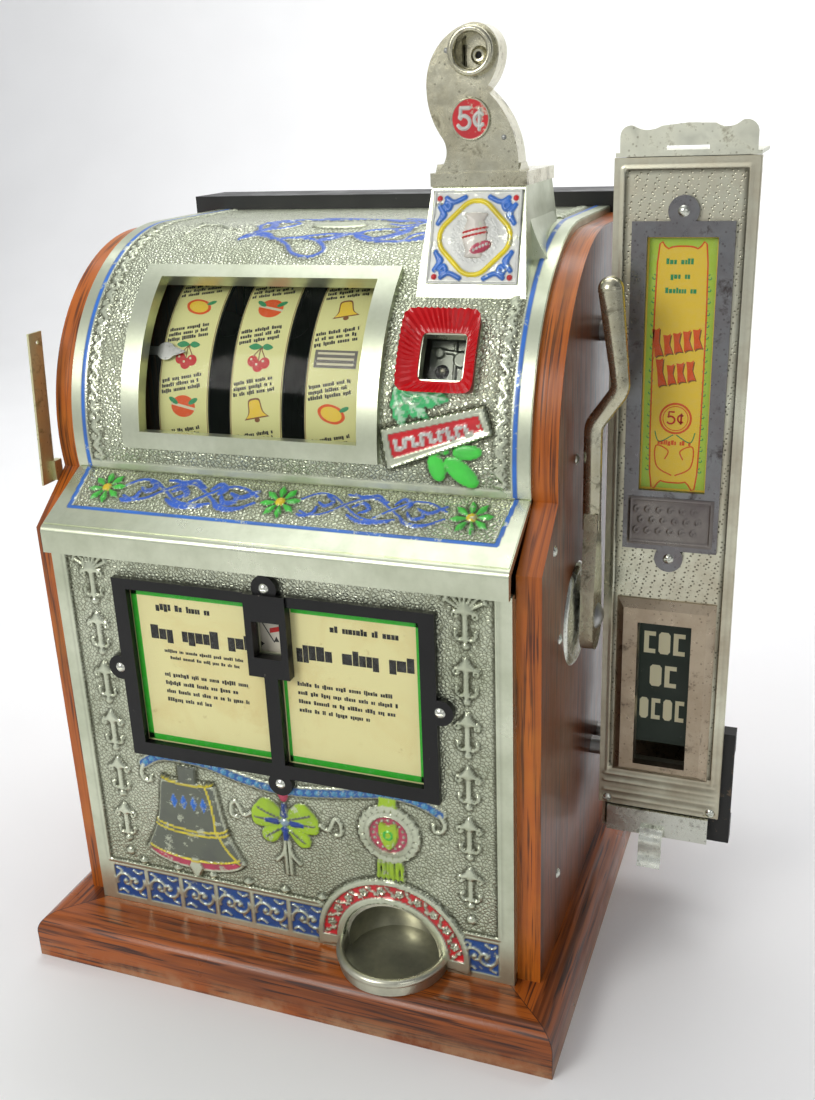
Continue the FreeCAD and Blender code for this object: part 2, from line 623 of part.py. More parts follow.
def handle():
    y, z, x = size("handle_y"), size("handle_z"), size("handle_x")
    shaft = size("handle_shaft_radius")
    paddle = prism("YZ", [(y - 15, z - 8), via(y, z - 24), (y + 15, z - 8), (y + 13, z + 22),
                          (y + 7, z + 62), (y + 6, z + 74), (y - 6, z + 74), (y - 7, z + 62),
                          (y - 13, z + 22)], x - 4, x + 5)
    points = [Vector(x, y, z + 62), Vector(x, y, z + 132), Vector(x + 17, y, z + 156),
              Vector(x + 9, y, z + 218)]
    grip = rounded_rod(points, 6, 13)
    knob = Part.makeCone(6, 8, 56, points[2] + (points[3] - points[2]).normalize() * 8,
                         points[3] - points[2])
    end = Part.makeSphere(8, points[3])
    arm = paddle.fuse([grip, knob, end])
    arm = arm.cut(bar("X", (y, z), shaft, x - 10, x + 10))
    node(solid("handle_arm", arm.removeSplitter()))
    head = Part.makeSphere(11, Vector(x - 1.5, y, z)).common(bar("X", (y, z), 9, x + 5, x + 12))
    axle = bar("X", (y, z), shaft, size("crank_x") - 6, x + 5)
    node(solid("handle_shaft", axle.fuse(head).removeSplitter()))
    lean = math.radians(size("crank_lean"))
    pin_y, pin_z = y - size("crank_radius") * math.sin(lean), z - size("crank_radius") * math.cos(lean)
    low = size("crank_x")
    arm = prism("YZ", tapered(Vector(0, y, z), 13, Vector(0, pin_y, pin_z), 7), low, low + 5)
    pin = bar("X", (pin_y, pin_z), size("crank_pin_radius"), low + 5, low + 16)
    node(solid("handle_crank", arm.fuse(pin).cut(bar("X", (y, z), shaft, low - 1, low + 6))))
    bushing = bar("X", (y, z), shaft + 3, 161, 180).fuse(bar("X", (y, z), shaft + 7, 158, HALF_INSIDE))
    node(solid("handle_bushing", bushing.cut(bar("X", (y, z), shaft + size("running_gap"), 150, 190))))
    node(solid("lever_escutcheon", escutcheon_disc(y, z).cut(bar("X", (y, z), shaft + 0.6, 170, 190))))
    operating_slide(pin_y, pin_z)


def escutcheon_disc(y, z):
    """Low dished disc around the handle's shaft, turned about the shaft's axis."""
    section = Part.Face(Part.Wire([curve.toShape() for curve in curves(
        [(180.1, 0), (180.1, 36), via(181.5, 34.6), (182.3, 30), (184.2, 12), (184.2, 0)],
        lambda u, v: Vector(u, y + v, z))]))
    return section.revolve(Vector(0, y, z), Vector(1, 0, 0), 360)


def tapered(start, start_radius, end, end_radius):
    """Outline in YZ of two round ends joined by straight tangents."""
    along = (end - start).normalize()
    across = Vector(0, -along.z, along.y)
    marks = [start + across * start_radius, start - along * start_radius, start - across * start_radius,
             end - across * end_radius, end + along * end_radius, end + across * end_radius]
    points = [(mark.y, mark.z) for mark in marks]
    return [points[0], via(*points[1]), points[2], points[3], via(*points[4]), points[5]]


def rounded_rod(points, radius, bend):
    """Round bar along straight runs whose corners are rounded by tangent arcs."""
    edges = []
    start = points[0]
    for before, corner, after in zip(points, points[1:], points[2:]):
        arrive, leave = (corner - before).normalize(), (after - corner).normalize()
        turn = arrive.getAngle(leave)
        reach = bend * math.tan(turn / 2)
        first, last = corner - arrive * reach, corner + leave * reach
        middle = corner + (leave - arrive).normalize() * (bend / math.cos(turn / 2) - bend)
        edges.append(Part.LineSegment(start, first).toShape())
        edges.append(Part.Arc(first, middle, last).toShape())
        start = last
    edges.append(Part.LineSegment(start, points[-1]).toShape())
    path = Part.Wire(edges)
    ring = Part.Wire([Part.Circle(points[0], points[1] - points[0], radius).toShape()])
    return path.makePipeShell([ring], True, False)


def operating_slide(pin_y, pin_z):
    """Plate that the crank drives back; the hole in its tongue carries a coin from tube to chute."""
    low = size("crank_x") + 7
    side = block((low, low + 4), (pin_y - 12, pin_y + 80), (223.4, 256))
    slot = block((low - 1, low + 5), (pin_y - 5, pin_y + 5), (pin_z - 14, pin_z + 6))
    tongue = block((90, low + 1), (-74, -40), (223.4, 226.4)).cut(bar("Z", (105, -58), 11.2, 220, 235))
    node(solid("operating_slide", side.cut(slot).fuse(tongue).removeSplitter()))


def return_spring():
    """Close-wound torsion spring on the handle's shaft, its turns touching, between bushing and crank."""
    low, turns, pitch, inner, valley, crest = 146.6, 4, 2.4, 8.9, 10.4, 11.1
    marks = [(low, inner), (low, valley)]
    for turn in range(turns):
        marks += [via(low + (turn + 0.5) * pitch, crest), (low + (turn + 1) * pitch, valley)]
    marks.append((low + turns * pitch, inner))
    centre = Vector(0, size("handle_y"), size("handle_z"))
    outline = curves(marks, lambda x, radius: centre + Vector(x, radius, 0))
    face = Part.Face(Part.Wire([curve.toShape() for curve in outline]))
    node(solid("handle_return_spring", face.revolve(centre, Vector(1, 0, 0), 360)))


# Cash box, rear door, lock

def cash_box():
    outer = box("cash_box_outer", ("-70", "60"), ("-40", "120"), ("base_height", "150"))
    inner = box("cash_box_inner", ("-70 + sheet", "60 - sheet"), ("-40 + sheet", "120 - sheet"),
                ("base_height + sheet", "151"))
    node(cut("cash_box", outer, [inner]))


def hinge_heights():
    return (130, 430)


def rear_door():
    inner = HALF_INSIDE - 0.7
    back, thickness = size("cabinet_back"), size("door_thickness")
    door = box("back_door_blank", (str(-inner), str(inner)),
               ("cabinet_back - door_thickness", "cabinet_back"), ("door_low", "door_high"))
    lock_hole = rod("back_door_lock_hole", "Y", ("lock_x", "lock_z"), "9",
                    "cabinet_back - door_thickness - 1", "cabinet_back + 1")
    node(cut("back_door", door, [lock_hole]))
    x, y = size("hinge_x"), size("hinge_y")
    radius, pin, leaf = size("hinge_radius"), size("hinge_pin_radius"), size("leaf")
    gap = size("running_gap")
    jamb, moving = [], []
    for number, height in enumerate(hinge_heights()):
        fixed = block((x - 15, x - 0.4), (back, back + leaf), (height - 25, height + 25))
        fixed = fixed.fuse(bar("Z", (x, y), radius, height - 25, height + 25))
        room = block((x - 4.5, x + 4), (back - 1, back + 8), (height - 10.3, height + 10.3))
        fixed = fixed.cut(room).fuse(bar("Z", (x, y), pin, height - 25, height + 25))
        jamb.append(solid(f"hinge_jamb_{number}", fixed))
        leaf_plate = block((x + 1.4, x + 16), (back, back + leaf), (height - 25, height + 25))
        knuckle = bar("Z", (x, y), radius, height - 10, height + 10)
        bridge = block((x, x + 4), (back, back + leaf), (height - 10, height + 10))
        swing = leaf_plate.fuse([knuckle, bridge]).cut([
            bar("Z", (x, y), pin + gap, height - 11, height + 11),
            bar("Z", (x, y), radius + 0.4, height - 26, height - 10),
            bar("Z", (x, y), radius + 0.4, height + 10, height + 26)])
        moving.append(solid(f"hinge_door_{number}", swing))
    node(group("door_hinge_jamb_leaves", jamb))
    node(group("door_hinge_leaves", moving))
    lock_x, lock_z, front = size("lock_x"), size("lock_z"), back - thickness
    barrel = bar("Y", (lock_x, lock_z), 9, front - 4, back)
    barrel = barrel.fuse(bar("Y", (lock_x, lock_z), 12, back, back + 3))
    node(solid("door_lock_barrel", barrel.cut(bar("Y", (lock_x, lock_z), 6, front - 5, back + 4))))
    plug = bar("Y", (lock_x, lock_z), 6 - gap, front - 4.5, back + 3.4)
    key_slot = block((lock_x - 0.6, lock_x + 0.6), (back - 8, back + 4), (lock_z - 3.5, lock_z + 3.5))
    cam = block((lock_x - 5, lock_x + 5), (front - 7, front - 4.5), (lock_z - 21, lock_z + 6))
    node(solid("door_lock_cam", plug.cut(key_slot).fuse(cam)))


# Gum vendor on the right side

def vendor_case():
    left, right, back = "vendor_case_left", "vendor_case_right", "vendor_back"
    front = "vendor_front + vendor_skin"
    outer = box("vendor_case_outer", (left, right), (front, back), ("vendor_low", "vendor_high - 1"))
    inner = box("vendor_case_inner", (f"{left} + sheet", f"{right} - sheet"),
                (f"{front} - 1", f"{back} - sheet"), ("vendor_low + sheet", "vendor_high + 1"))
    shell = cut("vendor_case_shell", outer, [inner])
    stop_height = ("follower_low - 4", "follower_low - 0.3")
    stops = [box("vendor_stop_left", (f"{left} + sheet", f"{left} + 6"), ("10", "40"), stop_height),
             box("vendor_stop_right", (f"{right} - 6", f"{right} - sheet"), ("10", "40"), stop_height)]
    knuckles, barrels = [], []
    for number, x in enumerate((197, 253)):
        span = (str(x), str(x + 16))
        knuckles.append(box(f"vendor_knuckle_arm_{number}", span, (back, f"{back} + 4"),
                            ("vendor_high - 8", "vendor_high")))
        barrels.append(rod(f"vendor_barrel_{number}", "X", ("vendor_back + 4", "vendor_high"),
                           "3.5", *span))
    blank = fuse("vendor_case_blank", [shell] + stops + knuckles + barrels)
    pin = rod("vendor_hinge_pin", "X", ("vendor_back + 4", "vendor_high"), "1.5", "197", "269")
    node(fuse("vendor_case", [blank, pin]))


def vendor_front():
    left, right = "vendor_x - vendor_half", "vendor_x + vendor_half"
    back = "vendor_front + vendor_skin"
    blank = box("vendor_front_blank", (left, right), ("vendor_front", back),
                ("vendor_front_low", "vendor_high"))
    window = box("vendor_front_window", ("vendor_x - flag_window_half", "vendor_x + flag_window_half"),
                 ("vendor_front - 1", f"{back} + 1"), ("flag_window_low", "flag_window_high"))
    recess = box("vendor_front_recess", ("vendor_x - gum_card_half - 4", "vendor_x + gum_card_half + 4"),
                 ("vendor_front - 1", "vendor_front + 2"), ("gum_card_low - 4", "gum_card_high + 4"))
    node(cut("vendor_front_casting", blank, [window, recess]))
    node(box("vendor_card_glass", ("vendor_x - gum_card_half - 3.7", "vendor_x + gum_card_half + 3.7"),
             ("vendor_front + 0.1", "vendor_front + 1.3"), ("gum_card_low - 3.7", "gum_card_high + 3.7")))
    node(box("vendor_card", ("vendor_x - gum_card_half - 3.7", "vendor_x + gum_card_half + 3.7"),
             ("vendor_front + 1.4", "vendor_front + 1.9"), ("gum_card_low - 3.7", "gum_card_high + 3.7")))
    x, half, face = size("vendor_x"), size("gum_frame_half"), size("vendor_front")
    low, high = size("gum_frame_low"), size("gum_frame_high")
    frame = block((x - half, x + half), (face - 3.5, face), (low, high))
    frame = frame.fuse([bar("Y", place, 9.5, face - 3.5, face) for place in vendor_screw_places()])
    card = size("gum_card_half")
    frame = frame.cut(block((x - card, x + card), (face - 5, face + 1),
                            (size("gum_card_low"), size("gum_card_high"))))
    node(solid("vendor_card_frame", frame.removeSplitter()))
    outer = [(x - 34, 131), (x + 34, 131), (x + 34, 270), (x - 34, 270)]
    body = padded("vendor_window_frame_blank", "XZ", outer, "vendor_front - 7", "vendor_front")
    pad = body.Tip
    chamfer = body.newObject("PartDesign::Chamfer", "vendor_window_frame_bevel")
    chamfer.Base = (pad, [f"Edge{number}" for number, edge in enumerate(pad.Shape.Edges, start=1)
                          if abs(edge.CenterOfMass.y - face + 7) < 0.1])
    chamfer.Size = 5.5
    doc.recompute()
    opening = box("vendor_window_opening", ("vendor_x - flag_window_half", "vendor_x + flag_window_half"),
                  ("vendor_front - 8", "vendor_front + 1"), ("flag_window_low", "flag_window_high"))
    node(cut("vendor_window_frame", body, [opening]))


def vendor_screw_places():
    """X and Z of the gum card frame's two ears."""
    return [(size("vendor_x"), size("gum_frame_high") + 6), (size("vendor_x"), size("gum_frame_low") - 6)]


def vendor_lid():
    """Hinged lid with an upright scalloped crest along its front edge."""
    x, half, top = size("vendor_x"), size("vendor_half"), size("vendor_high") + size("lid_gap")
    front, hinge_y = size("vendor_front") + 1, size("vendor_back") + 4
    plate = block((x - half + 0.5, x + half - 0.5), (front, size("vendor_back")), (top, top + 2.4))
    left, right, low = x - half + 3, x + half - 3, top + 2
    crest = prism("XZ", [(left, low), (left, low + 10), via(left + 2.5, low + 15), (left + 8, low + 16),
                         via(left + 17, low + 13.4), (left + 25, low + 15.6), (x, low + 17),
                         (right - 25, low + 16.4),
                         via(right - 17, low + 14.2), (right - 10, low + 17.4), via(right - 2.5, low + 16),
                         (right, low + 10), (right, low)], front, front + 3)
    slot = block((x - 13, x + 13), (front - 1, front + 4), (low + 1.5, low + 4))
    tongue = block((214, 252), (size("vendor_back") - 1, hinge_y), (top, top + 2.4))
    barrel = bar("X", (hinge_y, size("vendor_high")), 3.5, 214, 252)
    lid = plate.fuse([crest, tongue, barrel]).cut([slot, bar("X", (hinge_y, size("vendor_high")),
                                                             1.5 + size("running_gap"), 210, 255)])
    node(solid("vendor_lid", lid.removeSplitter()))


def vendor_slide():
    """Pull slide: a tray under the gum column, a front bar and a curved finger tab."""
    x, front = size("vendor_x"), size("vendor_front")
    left, right = size("vendor_case_left") + 3, size("vendor_case_right") - 3
    floor = size("vendor_low") + size("sheet") + 0.6
    tray = block((left, right), (front + 1, size("vendor_back") - 4), (floor, floor + 2))
    rear = block((left, right), (size("vendor_back") - 6, size("vendor_back") - 4), (floor, floor + 16))
    bar_plate = block((x - 37, x + 37), (front - 3, front + 1), (floor, size("vendor_front_low") - 0.8))
    tab = prism("YZ", [(front - 3, floor + 8), (front - 6, floor + 8), via(front - 11, floor + 3),
                       (front - 12, floor - 6), via(front - 13.5, floor - 14), (front - 17, floor - 19),
                       (front - 14.5, floor - 20), via(front - 10.8, floor - 14), (front - 9.5, floor - 6),
                       via(front - 8, floor + 1), (front - 3, floor + 3)], x - 11.4, x + 5.4)
    node(solid("vendor_pull_slide", tray.fuse([rear, bar_plate, tab]).removeSplitter()))


def vendor_follower():
    """Weight that rides on the gum, with the empty flag hanging in front of it."""
    left, right = size("vendor_case_left") + 3, size("vendor_case_right") - 3
    low, high = size("follower_low"), size("follower_low") + size("follower_height")
    weight = block((left, right), (-5, 45), (low, high))
    flag = block((size("vendor_x") - 22, size("vendor_x") + 22), (-7.2, -6), (153, high))
    neck = block((size("vendor_x") - 22, size("vendor_x") + 22), (-6, -5), (low, high))
    node(solid("vendor_flag", weight.fuse([flag, neck]).removeSplitter()))


def vendor_fittings():
    low = size("vendor_low")
    case_right, back = size("vendor_case_right"), size("vendor_front") + size("vendor_skin")
    bracket = block((case_right, 288), (back, back + 12), (low + 1, 168)).cut(
        block((case_right + 5, 290), (back + 4, back + 14), (low + 20, 150)))
    node(solid("vendor_lock_bracket", bracket))
    spacers = []
    for number, (y, z) in enumerate(((16, 450), (16, 130), (38, 450), (38, 130))):
        spacer = bar("X", (y, z), 7, size("cabinet_width") / 2, size("vendor_case_left"))
        spacers.append(solid(f"standoff_{number}", spacer))
    node(group("vendor_standoffs", spacers))


# Small pieces

def screw(x, y, z, direction, radius=3.6):
    """Round-headed screw: a low dome with a slot, its head pointing along the direction."""
    head = Part.makeSphere(radius * 1.25, Vector(0, 0, -radius * 0.75))
    head = head.common(Part.makeCylinder(radius, radius, Vector(), Vector(0, 0, 1)))
    head = head.cut(block((-radius, radius), (-0.5, 0.5), (radius * 0.3, radius)))
    head.Placement = Placement(Vector(x, y, z), Rotation(Vector(0, 0, 1), direction))
    return head


def screws():
    forward, right = Vector(0, -1, 0), Vector(1, 0, 0)
    frame_face = size("front_face") - size("card_frame_thickness")
    heads = [screw(x, frame_face, z, forward) for x, z in award_screw_places()]
    heads += [screw(x, size("vendor_front") - 3.5, z, forward) for x, z in vendor_screw_places()]
    side = size("cabinet_width") / 2
    heads += [screw(side, y, z, right) for y, z in ((-55, 380), (-114, 338), (-97.5, 271), (-97.5, 90))]
    heads += [screw(-side, y, z, -right) for y, z in ((-55, 380), (-114, 338), (-97.5, 271), (-97.5, 90))]
    foot = size("vendor_front") + 1
    heads += [screw(x, foot - 1, 104, forward, 3.6) for x in (size("vendor_x") - 38, size("vendor_x") + 38)]
    node(group("round_head_screws", [solid(f"screw_{number}", head) for number, head in enumerate(heads)]))


def side_strip():
    """Narrow flat metal strip that stands off the left side, with a small hole near its top."""
    side = -size("cabinet_width") / 2
    strip = prism("YZ", [(-127, 357), (-113, 357), (-105, 462), (-119, 462)], side - 5, side - 3.4)
    foot = block((side - 5, side), (-116, -108), (358, 372))
    hole = bar("X", (-111, 455), 1.4, side - 6, side - 2)
    node(solid("left_side_strip", strip.fuse(foot).cut(hole)))


for build in (plinth, side_panels, cap_and_shelf, lower_front, step, upper_front, arch_glass, pointer,
              coin_head, coin_path, award_cards, indicator_dial, payout, mechanism, reels, stop_levers,
              handle, return_spring, cash_box, rear_door, vendor_case, vendor_front, vendor_lid,
              vendor_slide, vendor_follower, vendor_fittings, screws, side_strip):
    build()
doc.recompute()

for item in doc.Objects:
    if "Invalid" in item.State or "Error" in item.State:
        raise RuntimeError(f"{item.Name} failed: {item.State}")
for item in nodes:
    if item.Shape.isNull() or not item.Shape.isValid():
        raise RuntimeError(f"{item.Label} has a bad shape")

os.makedirs("parts", exist_ok=True)
for item in nodes:
    item.Shape.exportStep(f"parts/{item.Label}.step")
    print(item.Label, round(item.Shape.Volume), len(item.Shape.Solids))
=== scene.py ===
import math
import random

import bmesh
import bpy
import numpy as np
from mathutils import Matrix, Vector


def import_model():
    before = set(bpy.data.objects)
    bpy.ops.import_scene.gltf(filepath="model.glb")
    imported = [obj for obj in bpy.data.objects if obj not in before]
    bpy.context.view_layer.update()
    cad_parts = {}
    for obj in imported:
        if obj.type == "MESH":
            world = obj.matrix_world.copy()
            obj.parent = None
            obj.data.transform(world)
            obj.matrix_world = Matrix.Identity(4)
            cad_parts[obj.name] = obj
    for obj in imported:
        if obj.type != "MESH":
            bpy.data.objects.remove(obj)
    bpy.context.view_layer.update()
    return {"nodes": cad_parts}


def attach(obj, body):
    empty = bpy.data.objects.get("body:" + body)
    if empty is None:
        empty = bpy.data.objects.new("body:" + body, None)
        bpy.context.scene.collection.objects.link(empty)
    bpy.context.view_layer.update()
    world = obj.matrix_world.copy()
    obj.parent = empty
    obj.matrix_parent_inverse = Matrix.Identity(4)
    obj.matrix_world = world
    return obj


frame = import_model()
nodes = frame["nodes"]

# Lengths are in millimetres, as in the design, and become metres when a mesh is made.
MM = 0.001
random.seed(7)

ARCH_Y, ARCH_Z, ARCH_R = 23.0, 388.0, 134.0
ARCH_FOOT = math.asin(20 / ARCH_R)
FRONT_Y = -153.0
CUP_X, CUP_Z = 76.0, 44.0
HALF_INSIDE = 164.0
REEL_Y, REEL_Z, REEL_R = 16.0, 390.0, 114.0
REEL_X = {"left": -83.0, "centre": -28.0, "right": 27.0}
VENDOR_X, VENDOR_Y = 236.0, -14.0
AWARD_CARD_Y, DIAL_Y, DIAL_Z = -151.6, -145.7, 250.0
HEAD_Y, FLAG_Y, GUM_CARD_Y, CARD_FRAME_Y = -48.0, -7.2, -12.6, -17.5


# ---------------------------------------------------------------- materials

class Look:
    """A procedural material, with short names for the shader nodes that it is made of."""

    def __init__(self, name, **settings):
        self.material = bpy.data.materials.new(name)
        self.material.use_nodes = True
        self.tree = self.material.node_tree
        self.shader = self.tree.nodes["Principled BSDF"]
        self.place = self.add("ShaderNodeTexCoord").outputs["Object"]
        self.set(**settings)

    def set(self, **settings):
        """Set or link the shader's own sockets, such as base_color or coat_weight."""
        for key, value in settings.items():
            label = " ".join(word.upper() if word == "ior" else word.capitalize() for word in key.split("_"))
            self.put(self.shader.inputs[label], value)
        return self

    def put(self, socket, value):
        if isinstance(value, bpy.types.NodeSocket):
            self.tree.links.new(value, socket)
        elif socket.type == "RGBA" and len(value) == 3:
            socket.default_value = (*value, 1.0)
        else:
            socket.default_value = value

    def add(self, kind, inputs=None, **settings):
        item = self.tree.nodes.new(kind)
        for key, value in settings.items():
            setattr(item, key, value)
        for key, value in (inputs or {}).items():
            self.put(item.inputs[key], value)
        return item

    def scaled(self, x, y, z):
        """Object coordinates stretched along each axis; grain runs along the axis with the small number."""
        return self.add("ShaderNodeMapping", {"Vector": self.place, "Scale": (x, y, z)}).outputs["Vector"]

    def noise(self, scale, detail=3.0, rough=0.5, place=None, twist=0.0):
        inputs = {"Vector": place or self.place, "Scale": scale, "Detail": detail, "Roughness": rough,
                  "Distortion": twist}
        return self.add("ShaderNodeTexNoise", inputs).outputs["Fac"]

    def cells(self, scale, place=None, feature="F1", random_share=1.0):
        inputs = {"Vector": place or self.place, "Scale": scale, "Randomness": random_share}
        return self.add("ShaderNodeTexVoronoi", inputs, feature=feature).outputs["Distance"]

    def ramp(self, value, *stops):
        """Colours or grey levels along a value: each stop is (place, colour)."""
        item = self.add("ShaderNodeValToRGB", {"Fac": value})
        elements = item.color_ramp.elements
        while len(elements) < len(stops):
            elements.new(1.0)
        for element, (place, colour) in zip(elements, stops):
            element.position = place
            element.color = (colour,) * 3 + (1,) if isinstance(colour, (int, float)) else (*colour, 1)
        return item.outputs["Color"]

    def mix(self, share, first, second, blend="MIX"):
        item = self.add("ShaderNodeMix", data_type="RGBA", blend_type=blend)
        self.put(item.inputs["Factor"], share)
        self.put(item.inputs[6], first)
        self.put(item.inputs[7], second)
        return item.outputs[2]

    def math(self, operation, first, second=0.0):
        item = self.add("ShaderNodeMath", operation=operation)
        self.put(item.inputs[0], first)
        self.put(item.inputs[1], second)
        return item.outputs[0]

    def times(self, first, second):
        return self.math("MULTIPLY", first, second)

    def plus(self, first, second):
        return self.math("ADD", first, second)

    def minus(self, first, second):
        return self.math("SUBTRACT", first, second)

    def level(self, value, low, high, start=0.0, end=1.0):
        """The value moved from low..high to start..end, and held there."""
        return self.add("ShaderNodeMapRange", {"Value": value, "From Min": low, "From Max": high,
                                               "To Min": start, "To Max": end}).outputs["Result"]

    def bump(self, height, depth_mm, strength=1.0, below=None):
        inputs = {"Height": height, "Distance": depth_mm * MM, "Strength": strength}
        if below:
            inputs["Normal"] = below
        return self.add("ShaderNodeBump", inputs).outputs["Normal"]

    def attribute(self, name, output="Fac"):
        return self.add("ShaderNodeAttribute", attribute_name=name).outputs[output]

    def facing_side(self, low, high):
        """From 0 where the surface faces along the machine's depth or height to 1 where it faces sideways."""
        normal = self.add("ShaderNodeNewGeometry").outputs["Normal"]
        split = self.add("ShaderNodeSeparateXYZ", {"Vector": normal})
        return self.level(self.math("ABSOLUTE", split.outputs["X"]), low, high)

    def axis(self, letter):
        return self.add("ShaderNodeSeparateXYZ", {"Vector": self.place}).outputs[letter]


def oak(name, stretch, dark, middle, light, wear_and_shade=None, edge_stretch=None):
    """Varnished oak. The stretch per axis is smallest along the grain; a panel's edge may have its own."""
    look = Look(name, specular_ior_level=0.35, coat_weight=0.28, coat_roughness=0.2)
    grain_place = look.scaled(*stretch)
    if edge_stretch:
        grain_place = look.mix(look.facing_side(0.5, 0.7), look.scaled(*edge_stretch), grain_place)
    broad = look.noise(26.0, 4.0, 0.6, grain_place, 0.8)
    lines = look.noise(150.0, 3.0, 0.6, grain_place, 0.4)
    pores = look.noise(560.0, 2.0, 0.5, grain_place)
    colour = look.ramp(broad, (0.28, dark), (0.47, middle), (0.62, middle), (0.78, light))
    colour = look.mix(look.level(lines, 0.5, 0.66, 0.0, 0.75), colour, dark)
    colour = look.mix(look.level(pores, 0.55, 0.66, 0.0, 0.8), colour, [c * 0.35 for c in dark])
    patches = look.noise(14.0, 4.0, 0.6)
    colour = look.mix(look.level(patches, 0.45, 0.75, 0.0, 0.35), colour, light)
    # The side panels pass a function here that lays painted shade on their sideways faces.
    if wear_and_shade:
        colour = wear_and_shade(look, colour)
    height = look.plus(look.times(pores, -1.2), look.times(lines, 0.8))
    rough = look.level(patches, 0.3, 0.7, 0.28, 0.46)
    look.set(base_color=colour, roughness=rough, normal=look.bump(height, 0.25, 0.45))
    return look.material


def plinth_oak():
    """The plinth's mitred frame: the grain turns at the corners, and the lower edges are rubbed pale."""
    look = Look("oak_plinth", specular_ior_level=0.35, coat_weight=0.25, coat_roughness=0.2)
    across, back = look.axis("X"), look.axis("Y")
    side_reach = look.minus(look.math("ABSOLUTE", across), 0.200)
    end_reach = look.minus(look.math("ABSOLUTE", back), 0.193)
    on_side = look.math("GREATER_THAN", side_reach, end_reach)
    layers = []
    for stretch in ((0.035, 1.0, 1.0), (1.0, 0.035, 1.0)):
        place = look.scaled(*stretch)
        layers.append([look.noise(26.0, 4.0, 0.6, place, 0.9), look.noise(150.0, 3.0, 0.6, place, 0.4),
                       look.noise(520.0, 2.0, 0.5, place)])
    broad, lines, pores = [look.plus(look.times(second, on_side),
                                     look.times(first, look.minus(1.0, on_side)))
                           for first, second in zip(*layers)]
    dark, middle, light = (0.07, 0.015, 0.003), (0.36, 0.085, 0.008), (0.60, 0.20, 0.018)
    colour = look.ramp(broad, (0.3, dark), (0.46, middle), (0.6, middle), (0.78, light))
    colour = look.mix(look.level(lines, 0.5, 0.64, 0.0, 0.85), colour, dark)
    colour = look.mix(look.level(pores, 0.54, 0.66, 0.0, 0.85), colour, (0.02, 0.005, 0.003))
    joint = look.math("LESS_THAN", look.math("ABSOLUTE", look.minus(side_reach, end_reach)), 0.0005)
    colour = look.mix(look.times(joint, 0.8), colour, (0.02, 0.006, 0.003))
    edge = look.level(look.axis("Z"), 0.002, 0.016, 1.0, 0.0)
    rub = look.times(edge, look.level(look.noise(28.0, 5.0, 0.7), 0.42, 0.6))
    colour = look.mix(look.times(rub, 0.7), colour, (0.42, 0.24, 0.12))
    height = look.plus(look.times(pores, -1.2), look.times(lines, 0.8))
    look.set(base_color=colour, roughness=look.level(look.noise(20.0), 0.3, 0.7, 0.25, 0.45),
             normal=look.bump(height, 0.3, 0.5))
    return look.material


def side_oak():
    """Side panels: upright grain, orange on the front edge, and painted shade that makes the sideways outer
    faces far darker.
    """
    # Painted shade: faces that look sideways are multiplied much darker, as if turned away from the light.
    def paint_side_shade(look, colour):
        dark = look.mix(1.0, colour, (0.26, 0.2, 0.16), "MULTIPLY")
        return look.mix(look.times(look.facing_side(0.6, 0.9), 0.8), colour, dark)
    return oak("oak_side", (1.0, 1.0, 0.04), (0.10, 0.02, 0.003), (0.46, 0.11, 0.008), (0.70, 0.26, 0.02),
               paint_side_shade,
               (1.0, 0.03, 0.03))


def cast_metal(name, light=(0.70, 0.74, 0.58), dark=(0.48, 0.52, 0.38), rough=(0.24, 0.4), pebbled=True,
               recess_colour=(0.12, 0.12, 0.07), pebble_scale=400.0, pits=False):
    """Cast metal with a hammered ground and enamel, laid on by the mesh's pebble, enamel and paint, with
    painted shade where the mesh lies below its surroundings.
    """
    look = Look(name)
    cloud = look.noise(16.0, 5.0, 0.65)
    fine = look.noise(240.0, 3.0, 0.6)
    metal = look.mix(look.level(cloud, 0.35, 0.7), light, dark)
    metal = look.mix(look.level(fine, 0.55, 0.75, 0.0, 0.25), metal, dark)
    normal = look.bump(fine, 0.1, 0.3)
    metallic, roughness = 0.92, look.level(cloud, 0.3, 0.7, *rough)
    if pebbled:
        pebble = look.attribute("pebble")
        tilted = {"Vector": look.place, "Rotation": (0.4, 0.6, 0.5)}
        askew = look.add("ShaderNodeMapping", tilted).outputs["Vector"]
        cells = look.cells(pebble_scale, askew, "F1" if pits else "DISTANCE_TO_EDGE", 0.3 if pits else 0.7)
        crevice = look.level(cells, *((0.2, 0.34) if pits else (0.03, 0.13)), 1.0, 0.0)
        crevice = look.times(crevice, pebble)
        metal = look.mix(look.times(crevice, 0.7), metal, recess_colour)
        # Painted shade: points lying below their surroundings, beside the raised ornament, are made darker as
        # if in shadow.
        grime_and_shade = look.times(look.attribute("grime_and_shade"), look.level(cloud, 0.2, 0.6, 0.75, 1.0))
        metal = look.mix(look.times(grime_and_shade, 0.8), metal, [c * 0.5 for c in recess_colour])
        enamel = look.attribute("enamel")
        chips = look.level(look.noise(95.0, 5.0, 0.7), 0.34, 0.42)
        enamel = look.times(enamel, look.math("MAXIMUM", chips, 0.25))
        paint = look.attribute("paint", "Color")
        paint = look.mix(look.level(look.noise(60.0, 3.0), 0.4, 0.7, 0.0, 0.3), paint, [0.06, 0.06, 0.07])
        metal = look.mix(enamel, metal, paint)
        metallic = look.times(look.minus(1.0, enamel), 0.92)
        roughness = look.plus(look.times(roughness, look.minus(1.0, enamel)),
                              look.times(enamel, 0.3))
        dome = look.times(look.level(cells, 0.02, 0.34), pebble)
        normal = look.bump(dome, 0.6, 0.6, normal)
    look.set(base_color=metal, metallic=metallic, roughness=roughness, normal=normal)
    return look.material


